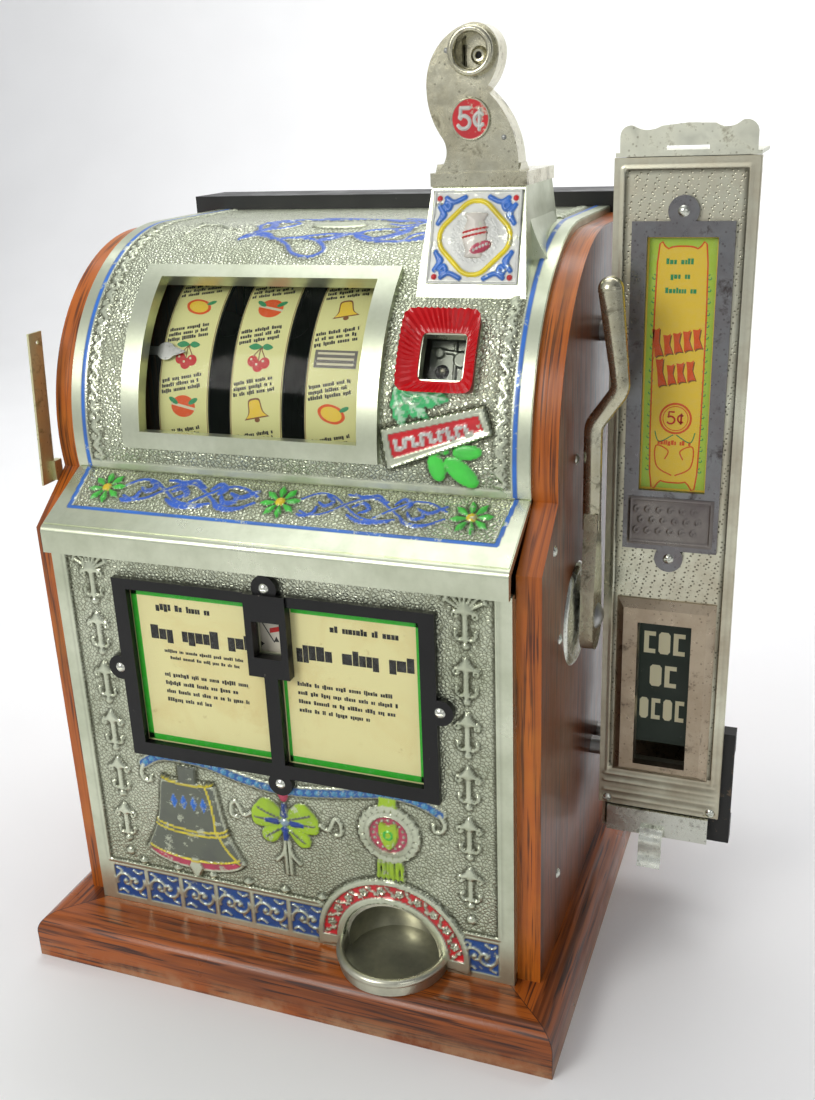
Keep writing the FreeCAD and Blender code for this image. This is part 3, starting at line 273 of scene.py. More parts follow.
def plated(name, light, dark, grime_and_shade, rough=(0.16, 0.4), wear=0.5):
    """Old nickel plate: bright where it is rubbed, brassy and stained where it is worn through."""
    look = Look(name, metallic=0.95)
    cloud = look.noise(26.0, 6.0, 0.7)
    colour = look.mix(look.level(cloud, 0.42, 0.42 + 0.3 / wear), light, dark)
    stains = look.noise(70.0, 6.0, 0.75, twist=0.4)
    colour = look.mix(look.level(stains, 0.56, 0.7, 0.0, 0.85), colour, grime_and_shade)
    specks = look.cells(260.0)
    colour = look.mix(look.level(specks, 0.1, 0.22, 0.5, 0.0), colour, grime_and_shade)
    height = look.minus(look.noise(180.0, 4.0, 0.6), look.times(stains, 0.6))
    look.set(base_color=colour, roughness=look.level(stains, 0.35, 0.7, *rough),
             normal=look.bump(height, 0.2, 0.3))
    return look.material


def painted(name, colour, rough=0.4, chip=(0.22, 0.2, 0.17), chipped=0.06, depth=0.1):
    """Paint or enamel on metal, with small chips and an uneven gloss."""
    look = Look(name, coat_weight=0.04, specular_ior_level=0.35)
    spots = look.noise(130.0, 5.0, 0.7)
    shade = look.mix(look.level(look.noise(18.0, 4.0), 0.3, 0.7, 0.0, 0.35), colour,
                     [c * 0.55 for c in colour])
    wear_and_shade = look.level(spots, 0.72 - chipped, 0.75 - chipped)
    look.set(base_color=look.mix(look.times(wear_and_shade, 0.8), shade, chip),
             roughness=look.level(look.noise(40.0), 0.3, 0.7, rough - 0.08, rough + 0.12),
             normal=look.bump(look.noise(300.0, 2.0), depth, 0.3))
    return look.material


def paper(name, colour, stain, rough=0.7, stained=0.5):
    """Aged card: foxed with brown spots, fibrous, darker in patches."""
    look = Look(name, coat_weight=0.2, coat_roughness=0.3)
    cloud = look.noise(17.0, 5.0, 0.7, twist=0.8)
    spots = look.noise(120.0, 4.0, 0.7)
    base = look.mix(look.level(cloud, 0.48, 0.8, 0.0, stained), colour, stain)
    base = look.mix(look.level(spots, 0.64, 0.74, 0.0, stained), base, [c * 0.6 for c in stain])
    look.set(base_color=base, roughness=look.level(spots, 0.3, 0.7, rough - 0.1, rough + 0.1),
             normal=look.bump(look.noise(700.0, 2.0), 0.05, 0.4))
    return look.material


def ink(name, colour):
    """Printer's ink, slightly patchy."""
    look = Look(name)
    faded = look.mix(look.level(look.noise(240.0, 4.0, 0.7), 0.45, 0.75, 0.0, 0.3), colour,
                     [0.7 * c + 0.2 for c in colour])
    look.set(base_color=faded, roughness=look.level(look.noise(90.0), 0.3, 0.7, 0.4, 0.6))
    return look.material


def machined(name, colour, rough=(0.3, 0.5), oil=(0.05, 0.045, 0.04)):
    """Plain working metal, with faint tool lines and oil in patches."""
    look = Look(name, metallic=1.0)
    lines = look.noise(900.0, 2.0, 0.5, look.scaled(1.0, 1.0, 0.08))
    patches = look.noise(45.0, 5.0, 0.7)
    shade = look.mix(look.level(patches, 0.5, 0.72, 0.0, 0.7), colour, oil)
    look.set(base_color=shade, roughness=look.level(lines, 0.3, 0.7, *rough),
             normal=look.bump(lines, 0.05, 0.25))
    return look.material


def clear_glass():
    """Thin glass that shows what is behind it, with a little dust."""
    look = Look("clear_glass", base_color=(0.03, 0.04, 0.03), alpha=0.06, ior=1.5)
    dust = look.noise(55.0, 5.0, 0.7)
    look.set(roughness=look.level(dust, 0.4, 0.8, 0.04, 0.16))
    return look.material


BLUE, SKY, NAVY, DEEP_BLUE = (0.03, 0.13, 0.62), (0.03, 0.17, 0.62), (0.012, 0.07, 0.27), (0.015, 0.055, 0.30)
RED, ROSE, YELLOW, LIME = (0.62, 0.012, 0.018), (0.50, 0.05, 0.10), (0.72, 0.60, 0.03), (0.36, 0.56, 0.02)
GREEN, BRIGHT_GREEN, OLIVE = (0.06, 0.50, 0.06), (0.07, 0.60, 0.06), (0.12, 0.135, 0.10)
RIBBON_BLUE, BEAD_BLUE, KNOT_BLUE = (0.02, 0.12, 0.38), (0.08, 0.32, 0.55), (0.3, 0.42, 0.5)
LEAF_GREEN, MINT_GREEN, PALE_GREEN = (0.06, 0.56, 0.18), (0.08, 0.72, 0.08), (0.45, 0.75, 0.5)
GOLD, AMBER, STONE, WHITE = (0.85, 0.68, 0.01), (0.85, 0.62, 0.02), (0.72, 0.68, 0.60), (0.66, 0.68, 0.63)

LOOKS = {
    "plinth": plinth_oak(),
    "side": side_oak(),
    "shelf": oak("oak_shelf", (0.09, 1.0, 1.0), (0.1, 0.035, 0.015), (0.3, 0.13, 0.05), (0.42, 0.22, 0.1)),
    "door": oak("oak_door", (1.0, 1.0, 0.05), (0.09, 0.025, 0.01), (0.28, 0.085, 0.025), (0.42, 0.16, 0.05)),
    "casting": cast_metal("cast_aluminium"),
    "casting_plain": cast_metal("cast_aluminium_smooth", pebbled=False),
    "cup": cast_metal("cup_metal", (0.70, 0.69, 0.55), (0.30, 0.30, 0.24), (0.2, 0.5), pebbled=False),
    "nickel": plated("nickel_worn", (0.60, 0.58, 0.44), (0.38, 0.33, 0.19), (0.06, 0.05, 0.03), (0.16, 0.36),
                     0.6),
    "nickel_bright": plated("nickel_bright", (0.74, 0.76, 0.68), (0.5, 0.5, 0.4), (0.12, 0.11, 0.08),
                            (0.18, 0.36)),
    "lid": plated("lid_metal", (0.74, 0.75, 0.62), (0.6, 0.6, 0.48), (0.2, 0.17, 0.1), (0.3, 0.5)),
    "vendor": cast_metal("vendor_plate", (0.72, 0.72, 0.57), (0.46, 0.40, 0.29), (0.24, 0.44),
                         recess_colour=(0.07, 0.07, 0.04), pebble_scale=400.0, pits=True),
    "check": cast_metal("coin_check_metal", (0.27, 0.29, 0.24), (0.12, 0.13, 0.10), (0.35, 0.55),
                        pebbled=False),
    "vendor_brown": plated("vendor_worn", (0.46, 0.38, 0.28), (0.26, 0.19, 0.12), (0.06, 0.045, 0.03),
                           (0.25, 0.5)),
    "frame_black": painted("frame_black", (0.004, 0.004, 0.004), 0.36, chipped=0.03),
    "cap_black": painted("cap_black", (0.02, 0.021, 0.02), 0.45, depth=0.2),
    "bracket": painted("bracket_black", (0.018, 0.018, 0.017), 0.5, chip=(0.12, 0.08, 0.05), chipped=0.12),
    "card_steel": plated("card_frame_steel", (0.23, 0.235, 0.24), (0.14, 0.10, 0.10), (0.05, 0.035, 0.03),
                         (0.25, 0.45)),
    "plate": cast_metal("plate_steel", (0.24, 0.22, 0.20), (0.13, 0.11, 0.11), recess_colour=(0.03, 0.02, 0.02)),
    "steel": machined("steel", (0.42, 0.42, 0.40)),
    "dark_steel": machined("drum_steel", (0.025, 0.025, 0.022), (0.4, 0.6)),
    "grey_nickel": plated("pointer_nickel", (0.34, 0.35, 0.33), (0.2, 0.2, 0.18), (0.06, 0.06, 0.05),
                          (0.3, 0.5)),
    "brass": machined("brass", (0.46, 0.34, 0.12), oil=(0.12, 0.09, 0.04)),
    "strip": plated("strip_brass", (0.72, 0.70, 0.44), (0.6, 0.58, 0.32), (0.3, 0.27, 0.12), (0.35, 0.55)),
    "card": paper("award_card_paper", (0.97, 0.90, 0.44), (0.80, 0.56, 0.18)),
    "reel_paper": paper("reel_paper", (0.80, 0.80, 0.34), (0.68, 0.60, 0.22), 0.6, 0.3),
    "gum_card": paper("gum_card_paper", (0.92, 0.66, 0.07), (0.82, 0.56, 0.05), 0.5, 0.3),
    "dial": paper("dial_paper", (0.70, 0.66, 0.55), (0.45, 0.35, 0.22)),
    "glass": clear_glass(),
    "flag": painted("flag_dark", (0.022, 0.036, 0.024), 0.5),
    # Near-black paint used as painted shade inside holes.
    "hollow": painted("painted_hole_shade", (0.006, 0.006, 0.006), 0.7),
    "red_enamel": painted("red_enamel", (0.58, 0.004, 0.008), 0.2, chip=(0.5, 0.45, 0.4), chipped=0.02),
    "ink_black": ink("ink_black", (0.015, 0.014, 0.012)),
    "ink_grey": ink("ink_grey", (0.16, 0.15, 0.12)),
    "ink_green": ink("ink_green", (0.03, 0.55, 0.02)),
    "ink_lime": ink("ink_lime", (0.47, 0.68, 0.06)),
    "ink_gold": ink("ink_gold", (0.92, 0.64, 0.05)),
    "ink_orange": ink("ink_orange", (0.80, 0.10, 0.006)),
    "ink_red": ink("ink_red", (0.60, 0.012, 0.008)),
    "ink_cream": ink("ink_cream", (0.72, 0.68, 0.44)),
    "ink_leaf": ink("ink_leaf", (0.02, 0.30, 0.10)),
    "ink_brown": ink("ink_brown", (0.24, 0.09, 0.02)),
}


# ---------------------------------------------------------------- meshes

def piece(name, points, faces, material, body="cabinet", smooth=True, face_materials=None):
    """A mesh from points in millimetres, riding on a body."""
    mesh = bpy.data.meshes.new(name)
    mesh.from_pydata([tuple(point) for point in np.asarray(points, float) * MM], [], faces)
    materials = [material] if isinstance(material, str) else list(material)
    for key in materials:
        mesh.materials.append(LOOKS[key])
    if face_materials is not None:
        mesh.polygons.foreach_set("material_index", face_materials)
    mesh.polygons.foreach_set("use_smooth", [smooth] * len(mesh.polygons))
    mesh.validate()
    item = bpy.data.objects.new(name, mesh)
    bpy.context.scene.collection.objects.link(item)
    if smooth:
        sharpen(item, 38)
    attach(item, body)
    return item


def sharpen(item, degrees):
    """Keep edges steeper than this sharp, and shade the rest smoothly."""
    shape = bmesh.new()
    shape.from_mesh(item.data)
    limit = math.radians(degrees)
    for edge in shape.edges:
        edge.smooth = not (len(edge.link_faces) == 2 and edge.calc_face_angle(0.0) > limit)
    shape.to_mesh(item.data)
    shape.free()


def smooth_line(points, steps=6, closed=False):
    """Points along a Catmull-Rom curve through a few marks."""
    marks = [np.array(point, float) for point in points]
    count = len(marks)
    line = []
    for index in range(count if closed else count - 1):
        if closed:
            a, b, c, d = [marks[(index + shift) % count] for shift in (-1, 0, 1, 2)]
        else:
            a, b = marks[max(index - 1, 0)], marks[index]
            c, d = marks[index + 1], marks[min(index + 2, count - 1)]
        for step in range(steps):
            t = step / steps
            line.append(0.5 * (2 * b + (c - a) * t + (2 * a - 5 * b + 4 * c - d) * t ** 2
                               + (3 * b - a - 3 * c + d) * t ** 3))
    if not closed:
        line.append(marks[-1])
    return np.array(line)


def arc(centre, radius, start, end, count=16):
    """Points on an arc or an ellipse, the angles in degrees anticlockwise from the right."""
    across, up = radius if isinstance(radius, tuple) else (radius, radius)
    turns = np.radians(np.linspace(start, end, count))
    return np.stack([centre[0] + across * np.cos(turns), centre[1] + up * np.sin(turns)], 1)


def disc(centre, radius, count=28):
    return arc(centre, radius, 0, 360 - 360 / count, count)


def turned(points, degrees, centre=(0, 0), shift=(0, 0), scale=1.0):
    """Points turned about a centre, scaled, and then moved."""
    points = np.array(points, float) - centre
    turn = math.radians(degrees)
    spin = np.array([[math.cos(turn), math.sin(turn)], [-math.sin(turn), math.cos(turn)]])
    return points @ spin * scale + centre + np.array(shift)


def beside(points, side, centre):
    """Points given from a centre, mirrored to its left where the side is -1."""
    return np.array(points, float) * (side, 1) + centre


def spiral(centre, start_radius, end_radius, start, end, count=26):
    turns = np.linspace(start, end, count)
    radii = np.linspace(start_radius, end_radius, count)
    return np.stack([centre[0] + radii * np.cos(np.radians(turns)),
                     centre[1] + radii * np.sin(np.radians(turns))], 1)


def petals(centre, inner, outer, count, first=0.0, wide=0.5):
    """Outlines of pointed petals around a centre."""
    shapes = []
    half = math.pi / count * wide
    for index in range(count):
        angle = math.radians(first) + 2 * math.pi * index / count
        marks = [(inner, 0.0), ((inner + outer) * 0.42, half), ((inner + outer) * 0.62, half), (outer, 0.0),
                 ((inner + outer) * 0.62, -half), ((inner + outer) * 0.42, -half)]
        shapes.append(np.array([(centre[0] + r * math.cos(angle + a), centre[1] + r * math.sin(angle + a))
                                for r, a in marks]))
    return shapes


class Relief:
    """A height field over a flat sheet. Ornament is raised on it, then it is bent onto a casting."""

    def __init__(self, across, up, step):
        self.across = np.linspace(across[0], across[1], int(round((across[1] - across[0]) / step)) + 1)
        self.up = np.linspace(up[0], up[1], int(round((up[1] - up[0]) / step)) + 1)
        self.u, self.v = np.meshgrid(self.across, self.up, indexing="ij")
        self.height = np.zeros_like(self.u)
        self.pebble = np.zeros_like(self.u)
        self.enamel = np.zeros_like(self.u)
        self.paint = np.zeros(self.u.shape + (3,))
        self.keep = np.ones_like(self.u, bool)
        self.edge = step * 0.9

    def window(self, points, margin):
        low, high = points.min(0) - margin, points.max(0) + margin
        rows = slice(*np.searchsorted(self.across, [low[0], high[0]]))
        columns = slice(*np.searchsorted(self.up, [low[1], high[1]]))
        return rows, columns

    def distance(self, points, place, closed):
        """Distance from the sheet's points to a line; inside a closed line it is negative."""
        u, v = self.u[place], self.v[place]
        nearest = np.full(u.shape, 1e9)
        inside = np.zeros(u.shape, bool)
        following = np.roll(points, -1, 0) if closed else points[1:]
        for (au, av), (bu, bv) in zip(points, following):
            du, dv = bu - au, bv - av
            length = du * du + dv * dv or 1e-9
            t = np.clip(((u - au) * du + (v - av) * dv) / length, 0, 1)
            nearest = np.minimum(nearest, (u - au - t * du) ** 2 + (v - av - t * dv) ** 2)
            if closed and av != bv:
                inside ^= ((av > v) != (bv > v)) & (u < (bu - au) * (v - av) / (bv - av) + au)
        nearest = np.sqrt(nearest)
        return np.where(inside, -nearest, nearest) if closed else nearest

    def lay(self, place, cover, height, colour, mode="max"):
        """Raise the covered part to a height, or set it to that height, and paint it."""
        shown = self.height[place]
        if mode == "max":
            self.height[place] = np.maximum(shown, height * cover)
        else:
            self.height[place] = shown * (1 - cover) + height * cover
        self.pebble[place] *= 1 - cover
        if colour is None:
            self.enamel[place] *= 1 - cover
        else:
            sharp = np.clip(cover * 2, 0, 1)
            share = sharp[..., None]
            self.paint[place] = self.paint[place] * (1 - share) + np.array(colour) * share
            self.enamel[place] = np.maximum(self.enamel[place] * (1 - sharp), sharp)

    def stroke(self, points, width, height, colour=None, closed=False):
        """A rounded rib along a line."""
        points = np.asarray(points, float)
        place = self.window(points, width)
        gap = np.abs(self.distance(points, place, closed))
        cover = np.sqrt(np.clip(1 - (gap / (width / 2 + self.edge / 2)) ** 2, 0, 1))
        self.lay(place, cover, height, colour)

    def shape(self, points, height, soft=1.2, colour=None, mode="max"):
        """A raised, filled outline with softened edges."""
        points = np.asarray(points, float)
        place = self.window(points, soft + 1)
        gap = self.distance(points, place, True)
        cover = np.clip(0.5 - gap / soft, 0, 1)
        cover = cover * cover * (3 - 2 * cover)
        self.lay(place, cover, height, colour, mode)

    def dome(self, points, height, colour=None, base=0.4):
        """A filled outline that swells towards its middle."""
        points = np.asarray(points, float)
        place = self.window(points, 1.5)
        gap = self.distance(points, place, True)
        depth = np.clip(-gap, 0, None)
        deepest = max(float(depth.max()), 0.5)
        rise = base + (1 - base) * np.sqrt(np.clip(depth / deepest, 0, 1))
        cover = np.clip(0.5 - gap / self.edge, 0, 1)
        self.lay(place, cover, height * rise, colour)

    def ground(self, points, pebble=1.0):
        """Hammered ground inside an outline."""
        points = np.asarray(points, float)
        place = self.window(points, 1)
        cover = np.clip(0.5 - self.distance(points, place, True) / 1.2, 0, 1)
        self.pebble[place] = np.maximum(self.pebble[place], pebble * cover)

    def build(self, name, place, thickness, material, slot="cast_aluminium", base=0.3):
        """Bend the sheet with place(u, v, height), close its edges and back, and store its paint."""
        number = np.full(self.u.shape, -1)
        cell = self.keep[:-1, :-1] & self.keep[1:, :-1] & self.keep[:-1, 1:] & self.keep[1:, 1:]
        used = np.zeros_like(self.keep)
        for across, up in ((0, 0), (1, 0), (0, 1), (1, 1)):
            rows, columns = cell.shape
            used[across:across + rows, up:up + columns] |= cell
        number[used] = np.arange(used.sum())
        count = int(used.sum())
        front = place(self.u[used], self.v[used], self.height[used] + base)
        rear = place(self.u[used], self.v[used], np.full(count, base - thickness))
        a, b = number[:-1, :-1][cell], number[1:, :-1][cell]
        c, d = number[1:, 1:][cell], number[:-1, 1:][cell]
        faces = np.concatenate([np.stack([a, b, c, d], 1), np.stack([d, c, b, a], 1) + count])
        edges = np.concatenate([np.stack(pair, 1) for pair in ((a, b), (b, c), (c, d), (d, a))])
        key = np.sort(edges, 1)
        _, index, counts = np.unique(key[:, 0] * (count + 1) + key[:, 1], return_index=True,
                                     return_counts=True)
        rim = edges[index[counts == 1]]
        walls = np.stack([rim[:, 1], rim[:, 0], rim[:, 0] + count, rim[:, 1] + count], 1)
        faces = np.concatenate([faces, walls])
        item = piece(name, np.concatenate([front, rear]), faces.tolist(), material)
        for label, values in (("pebble", self.pebble), ("enamel", self.enamel), ("grime_and_shade", self.grime_and_shade())):
            layer = item.data.attributes.new(label, "FLOAT", "POINT")
            layer.data.foreach_set("value", np.tile(values[used], 2).astype(np.float32))
        colours = np.concatenate([self.paint[used], np.ones((count, 1))], 1)
        layer = item.data.attributes.new("paint", "FLOAT_COLOR", "POINT")
        layer.data.foreach_set("color", np.tile(colours, (2, 1)).astype(np.float32).ravel())
        return item

    def grime_and_shade(self):
        """How far each point lies below its surroundings, which the castings show as painted shade beside
        raised ornament.
        """
        reach = 3
        mean = self.height.copy()
        for axis in (0, 1):
            mean = sum(np.roll(mean, shift, axis) for shift in range(-reach, reach + 1)) / (2 * reach + 1)
        return np.clip((mean - self.height - 0.03) / 0.45, 0, 1)


def band(points, low, high):
    """The part of an outline between two heights."""
    for limit, sign in ((low, 1), (high, -1)):
        kept = []
        for (au, av), (bu, bv) in zip(points, np.roll(points, -1, 0)):
            inside_a, inside_b = (av - limit) * sign >= 0, (bv - limit) * sign >= 0
            if inside_a:
                kept.append((au, av))
            if inside_a != inside_b:
                kept.append((au + (bu - au) * (limit - av) / (bv - av), limit))
        points = np.array(kept)
        if len(points) < 3:
            return None
    return points


class Print:
    """Flat ink shapes that lie on a surface: each is a thin closed slab, cut small enough to bend."""

    def __init__(self, strip=None):
        self.inks, self.strip = [], strip
        self.points, self.faces, self.shades = [], [], []

    def shape(self, points, colour, level=1):
        """A filled outline; a higher level lies on a lower one. Long shapes are cut into strips."""
        points = np.asarray(points, float)
        if colour not in self.inks:
            self.inks.append(colour)
        if self.strip:
            low, high = points[:, 1].min(), points[:, 1].max()
            edges = np.linspace(low, high, int((high - low) / self.strip) + 2)
            parts = [band(points, first, second) for first, second in zip(edges[:-1], edges[1:])]
        else:
            parts = [points]
        for part in parts:
            if part is None or np.ptp(part[:, 1]) < 1e-4:
                continue
            start, count = len(self.points), len(part)
            for height in (0.024 * level, -0.03):
                self.points += [(u, v, height) for u, v in part]
            area = sum(part[:, 0] * np.roll(part[:, 1], -1) - np.roll(part[:, 0], -1) * part[:, 1])
            upper = [start + index for index in range(count)]
            lower = [index + count for index in upper]
            if area < 0:
                upper, lower = upper[::-1], lower[::-1]
            faces = [upper, lower[::-1]]
            for near in range(count):
                far = (near + 1) % count
                faces.append([upper[far], upper[near], lower[near], lower[far]])
            self.faces += faces
            self.shades += [self.inks.index(colour)] * len(faces)

    def ring(self, centre, outer, inner, colour, level=1):
        count = 32
        for index in range(count):
            start, end = 360 * index / count, 360 * (index + 1) / count
            self.shape(np.concatenate([arc(centre, outer, start, end, 2), arc(centre, inner, end, start, 2)]),
                       colour, level)

    def line(self, points, width, colour, level=1):
        """A line of even width, mitred at its bends."""
        points = np.asarray(points, float)
        along = np.gradient(points, axis=0)
        along /= np.linalg.norm(along, axis=1)[:, None] + 1e-9
        side = np.stack([-along[:, 1], along[:, 0]], 1) * width / 2
        for near in range(len(points) - 1):
            far = near + 1
            self.shape([points[near] + side[near], points[near] - side[near],
                        points[far] - side[far], points[far] + side[far]], colour, level)

    def words(self, start, width, tall, colour, slope=0.0, level=1, fill=0.82):
        """A line of small upright blocks in word-like groups; they stand for print and are no letters."""
        place = 0.0
        while place < width:
            for _ in range(random.randint(2, 7)):
                wide = tall * random.uniform(0.4, 0.72)
                if place + wide > width:
                    break
                high = tall * (1.0 if random.random() < 0.3 else 0.75)
                low = -tall * 0.22 if random.random() < 0.12 else 0.0
                block = rectangle(place, place + wide * fill, low, high)
                self.shape(turned(block, slope, shift=start), colour, level)
                place += wide
            place += tall * 0.65

    def build(self, name, place, body, slot="paper"):
        """Bend the slabs with place(u, v, height) and make the piece."""
        flat = np.array(self.points)
        points = place(flat[:, 0], flat[:, 1], flat[:, 2])
        return piece(name, points, self.faces, self.inks, body, smooth=False,
                     face_materials=self.shades)


def facing_front(y, x=0.0, z=0.0):
    """A flat sheet that faces the front at this depth, its origin at x and z."""
    return lambda u, v, height: np.stack([x + u, y - height, z + v], -1)


def arch_place(u, v, height):
    """u is X, v the length up the arch from its front point, which goes on flat behind its crown."""
    turn = np.clip(v / ARCH_R, None, math.pi / 2)
    flat = np.clip(v - ARCH_R * math.pi / 2, 0, None)
    return np.stack([u, ARCH_Y - (ARCH_R + height) * np.cos(turn) + flat,
                     ARCH_Z + (ARCH_R + height) * np.sin(turn)], -1)


def slope_place(start, end):
    """A flat sheet that rises from one (y, z) to another."""
    (y, z), rise = start, np.array(end, float) - np.array(start, float)
    rise /= np.linalg.norm(rise)

    def place(u, v, height):
        return np.stack([u, y + v * rise[0] - height * rise[1], z + v * rise[1] + height * rise[0]], -1)
    return place


def rectangle(left, right, low, high):
    return np.array([(left, low), (right, low), (right, high), (left, high)], float)


# ---------------------------------------------------------------- ornament of the castings

def drop_column(sheet, centre, top, count, pitch):
    """A hanging column of spade heads, stems and beads."""
    for index in range(count):
        z = top - index * pitch
        spade = smooth_line([(0, 5), (3.5, 0.5), (7, -4), (3.2, -4.6), (0, -6.5),
                             (-3.2, -4.6), (-7, -4), (-3.5, 0.5)], 4, True)
        sheet.dome(spade + (centre, z), 2.4)
        sheet.stroke([(centre, z - 6), (centre, z - 22)], 3.2, 1.6)
        curl = spiral((6.2, -5.5), 2.6, 0.8, 90, -240, 12)
        barb = smooth_line([(0, -18), (3, -22), (6, -20.5), (6.6, -18)], 4)
        for side in (-1, 1):
            sheet.stroke(beside(curl, side, (centre, z)), 1.3, 1.5)
            sheet.stroke(beside(barb, side, (centre, z)), 1.5, 1.5)
            sheet.dome(disc((centre + side * 6.4, z - 17.2), 1.5, 10), 1.8)
        sheet.dome(disc((centre, z - 26), 2.6, 14), 2.2)


def blue_squares(sheet):
    """The row of scrolled squares along the foot, left and right of the cup."""
    centres = [-138 + 29.7 * index for index in range(6)] + [140]
    middle = 52.2
    scroll = spiral((-4.2, 0), 8.2, 1.4, 200, -160)
    hooks = [smooth_line(points, 4) for points in ([(-11, 10.8), (-7, 8.8), (-9.5, 4.8)],
                                                   [(4, 10.8), (8, 8.4), (11, 10.3)])]
    for x in centres:
        sheet.shape(rectangle(x - 13, x + 13, 39.5, 65), 0.1, 1.0, NAVY, "set")
        for turn in (0, 180):
            sheet.stroke(turned(scroll, turn, shift=(x, middle)), 2.0, 1.4)
            sheet.dome(turned(disc((-4.2, 0), 1.9, 12), turn, shift=(x, middle)), 1.8)
            for hook in hooks:
                sheet.stroke(turned(hook, turn, shift=(x, middle)), 1.4, 1.2)
    for index in range(6):
        x = -123.2 + 29.3 * index
        sheet.dome([(x - 4, 74.6), (x, 78.2), (x + 4, 74.6), (x, 71)], 2.6, base=0.3)


def bell(sheet):
    """A bell in relief, with plain bands instead of any inscription."""
    x = -76.7
    right = smooth_line([(8, 152), (20, 151), (22.5, 147), (24.5, 134), (28, 117), (33, 104), (41, 88.5)])
    body = np.concatenate([right, arc((0, 103), (41, 17.5), -55, -125, 14), right[::-1] * (-1, 1)])
    body = body + (x, 0)
    sheet.shape(body, 2.6, 2.6)
    sheet.shape(turned(body, 0, (x, 120), scale=0.955), 2.8, 1.2, OLIVE)
    sheet.shape(rectangle(x - 7, x + 7, 150, 164), 2.4, 1.6, OLIVE)
    mouth = np.concatenate([arc((x, 91), (38, 5.0), 180, 360, 20), arc((x, 91), (38, 12.5), 0, -180, 20)])
    sheet.shape(mouth, 1.6, 1.0, ROSE)
    sheet.stroke(arc((x, 91), (39.5, 13), 0, -180, 24), 1.6, 2.0)
    clapper = np.array([(-2.6, 88), (2.6, 88), (6, 80), (2.2, 72), (-2.2, 72), (-6, 80)]) + (x, 0)
    sheet.shape(clapper, 3.4, 1.6)
    for points in (arc((x, 154), (21, 4), 190, 350, 16), arc((x, 119), (30.5, 7.5), 200, 340, 18),
                   arc((x, 116), (31.5, 8), 200, 340, 18), arc((x, 97.5), (39, 12), 200, 340, 20),
                   smooth_line([(x + 15, 150), (x + 18.5, 134), (x + 20, 112)], 6),
                   smooth_line([(x + 21, 112), (x + 27, 101), (x + 37, 89.5)], 6)):
        sheet.stroke(points, 1.1, 3.3, YELLOW)
    for shift in (-12, -4, 4, 12):
        lozenge = np.array([(-2.6, 0), (0, 6), (2.6, 0), (0, -6)]) + (x + shift, 135)
        sheet.dome(lozenge, 3.9, SKY)


def bow(sheet):
    """A tied ribbon bow with a small blue cross at its knot."""
    x, z = -1.0, 133.0
    for side in (-1, 1):
        upper = smooth_line([(0, 1), (6, 13), (15, 17), (22, 11), (26, 4), (24, -6), (12, -6)], 5, True)
        lower = smooth_line([(1, -3), (10, -5), (18, -9), (18, -17), (11, -19), (5, -13)], 5, True)
        sheet.dome(beside(upper, side, (x, z)), 2.6, LIME)
        sheet.dome(beside(lower, side, (x, z)), 2.3, LIME)
        for crease in ([(4, 3), (20, 9)], [(4, 0), (23, 1)], [(4, -6), (15, -14)]):
            sheet.stroke(beside(crease, side, (x, z)), 0.9, 2.9, OLIVE)
        curl = smooth_line([(27, 2), (33, -1), (38, 9), (42, 6), (42.5, -2), (38, -4)], 5)
        tail = smooth_line([(1, -12), (3, -26), (9, -34)], 5)
        sheet.stroke(beside(curl, side, (x, z)), 2.2, 1.4)
        sheet.stroke(beside(tail, side, (x, z)), 2.0, 1.5)
        sheet.stroke(beside([(1.4, -12), (1.8, -44)], side, (x, z)), 2.0, 1.6)
    for turn in range(0, 360, 90):
        arm = [(-2.8, 5), (0, 3), (2.8, 5), (1.6, 15), (-1.6, 15)]
        sheet.dome(turned(arm, turn, shift=(x, z)), 3.2, DEEP_BLUE)
    sheet.dome(disc((x, z), 3.4, 14), 3.6, KNOT_BLUE)
    tab = smooth_line([(-4, 24), (4, 24), (2, 17), (-2, 17)], 3, True) + (x, z)
    sheet.dome(tab, 2.4, ROSE)


def rosette(sheet):
    """A toothed rosette with a shield and two tassels."""
    x, z = 77.0, 138.5
    for z_low, z_high, spread in ((153, 166, 6), (103, 124, 9)):
        for index in range(6):
            shift = -spread + 2 * spread * index / 5
            sheet.stroke([(x + shift * 0.8, z_high), (x + shift, z_low)], 2.4, 1.8, LIME)
    for tooth in petals((x, z), 15, 22, 24, wide=1.0):
        sheet.shape(tooth, 1.8, 1.0)
    sheet.shape(disc((x, z), 17.5, 36), 2.2, 1.6)
    sheet.shape(disc((x, z), 14.3, 36), 1.2, 1.0, ROSE, "set")
    sheet.stroke(disc((x, z), 14.6, 36), 1.4, 2.8, closed=True)
    for spot in disc((x, z), 11.2, 16):
        sheet.dome(disc(spot, 1.2, 8), 2.2)
    shield = smooth_line([(-6, 9), (0, 7.5), (6, 9), (6.5, -3), (0, -12), (-6.5, -3)], 4, True) + (x, z)
    sheet.shape(shield, 2.6, 1.0, LIME)
    sheet.stroke(disc((x, z), 3.0, 14), 1.0, 3.4, GREEN, True)


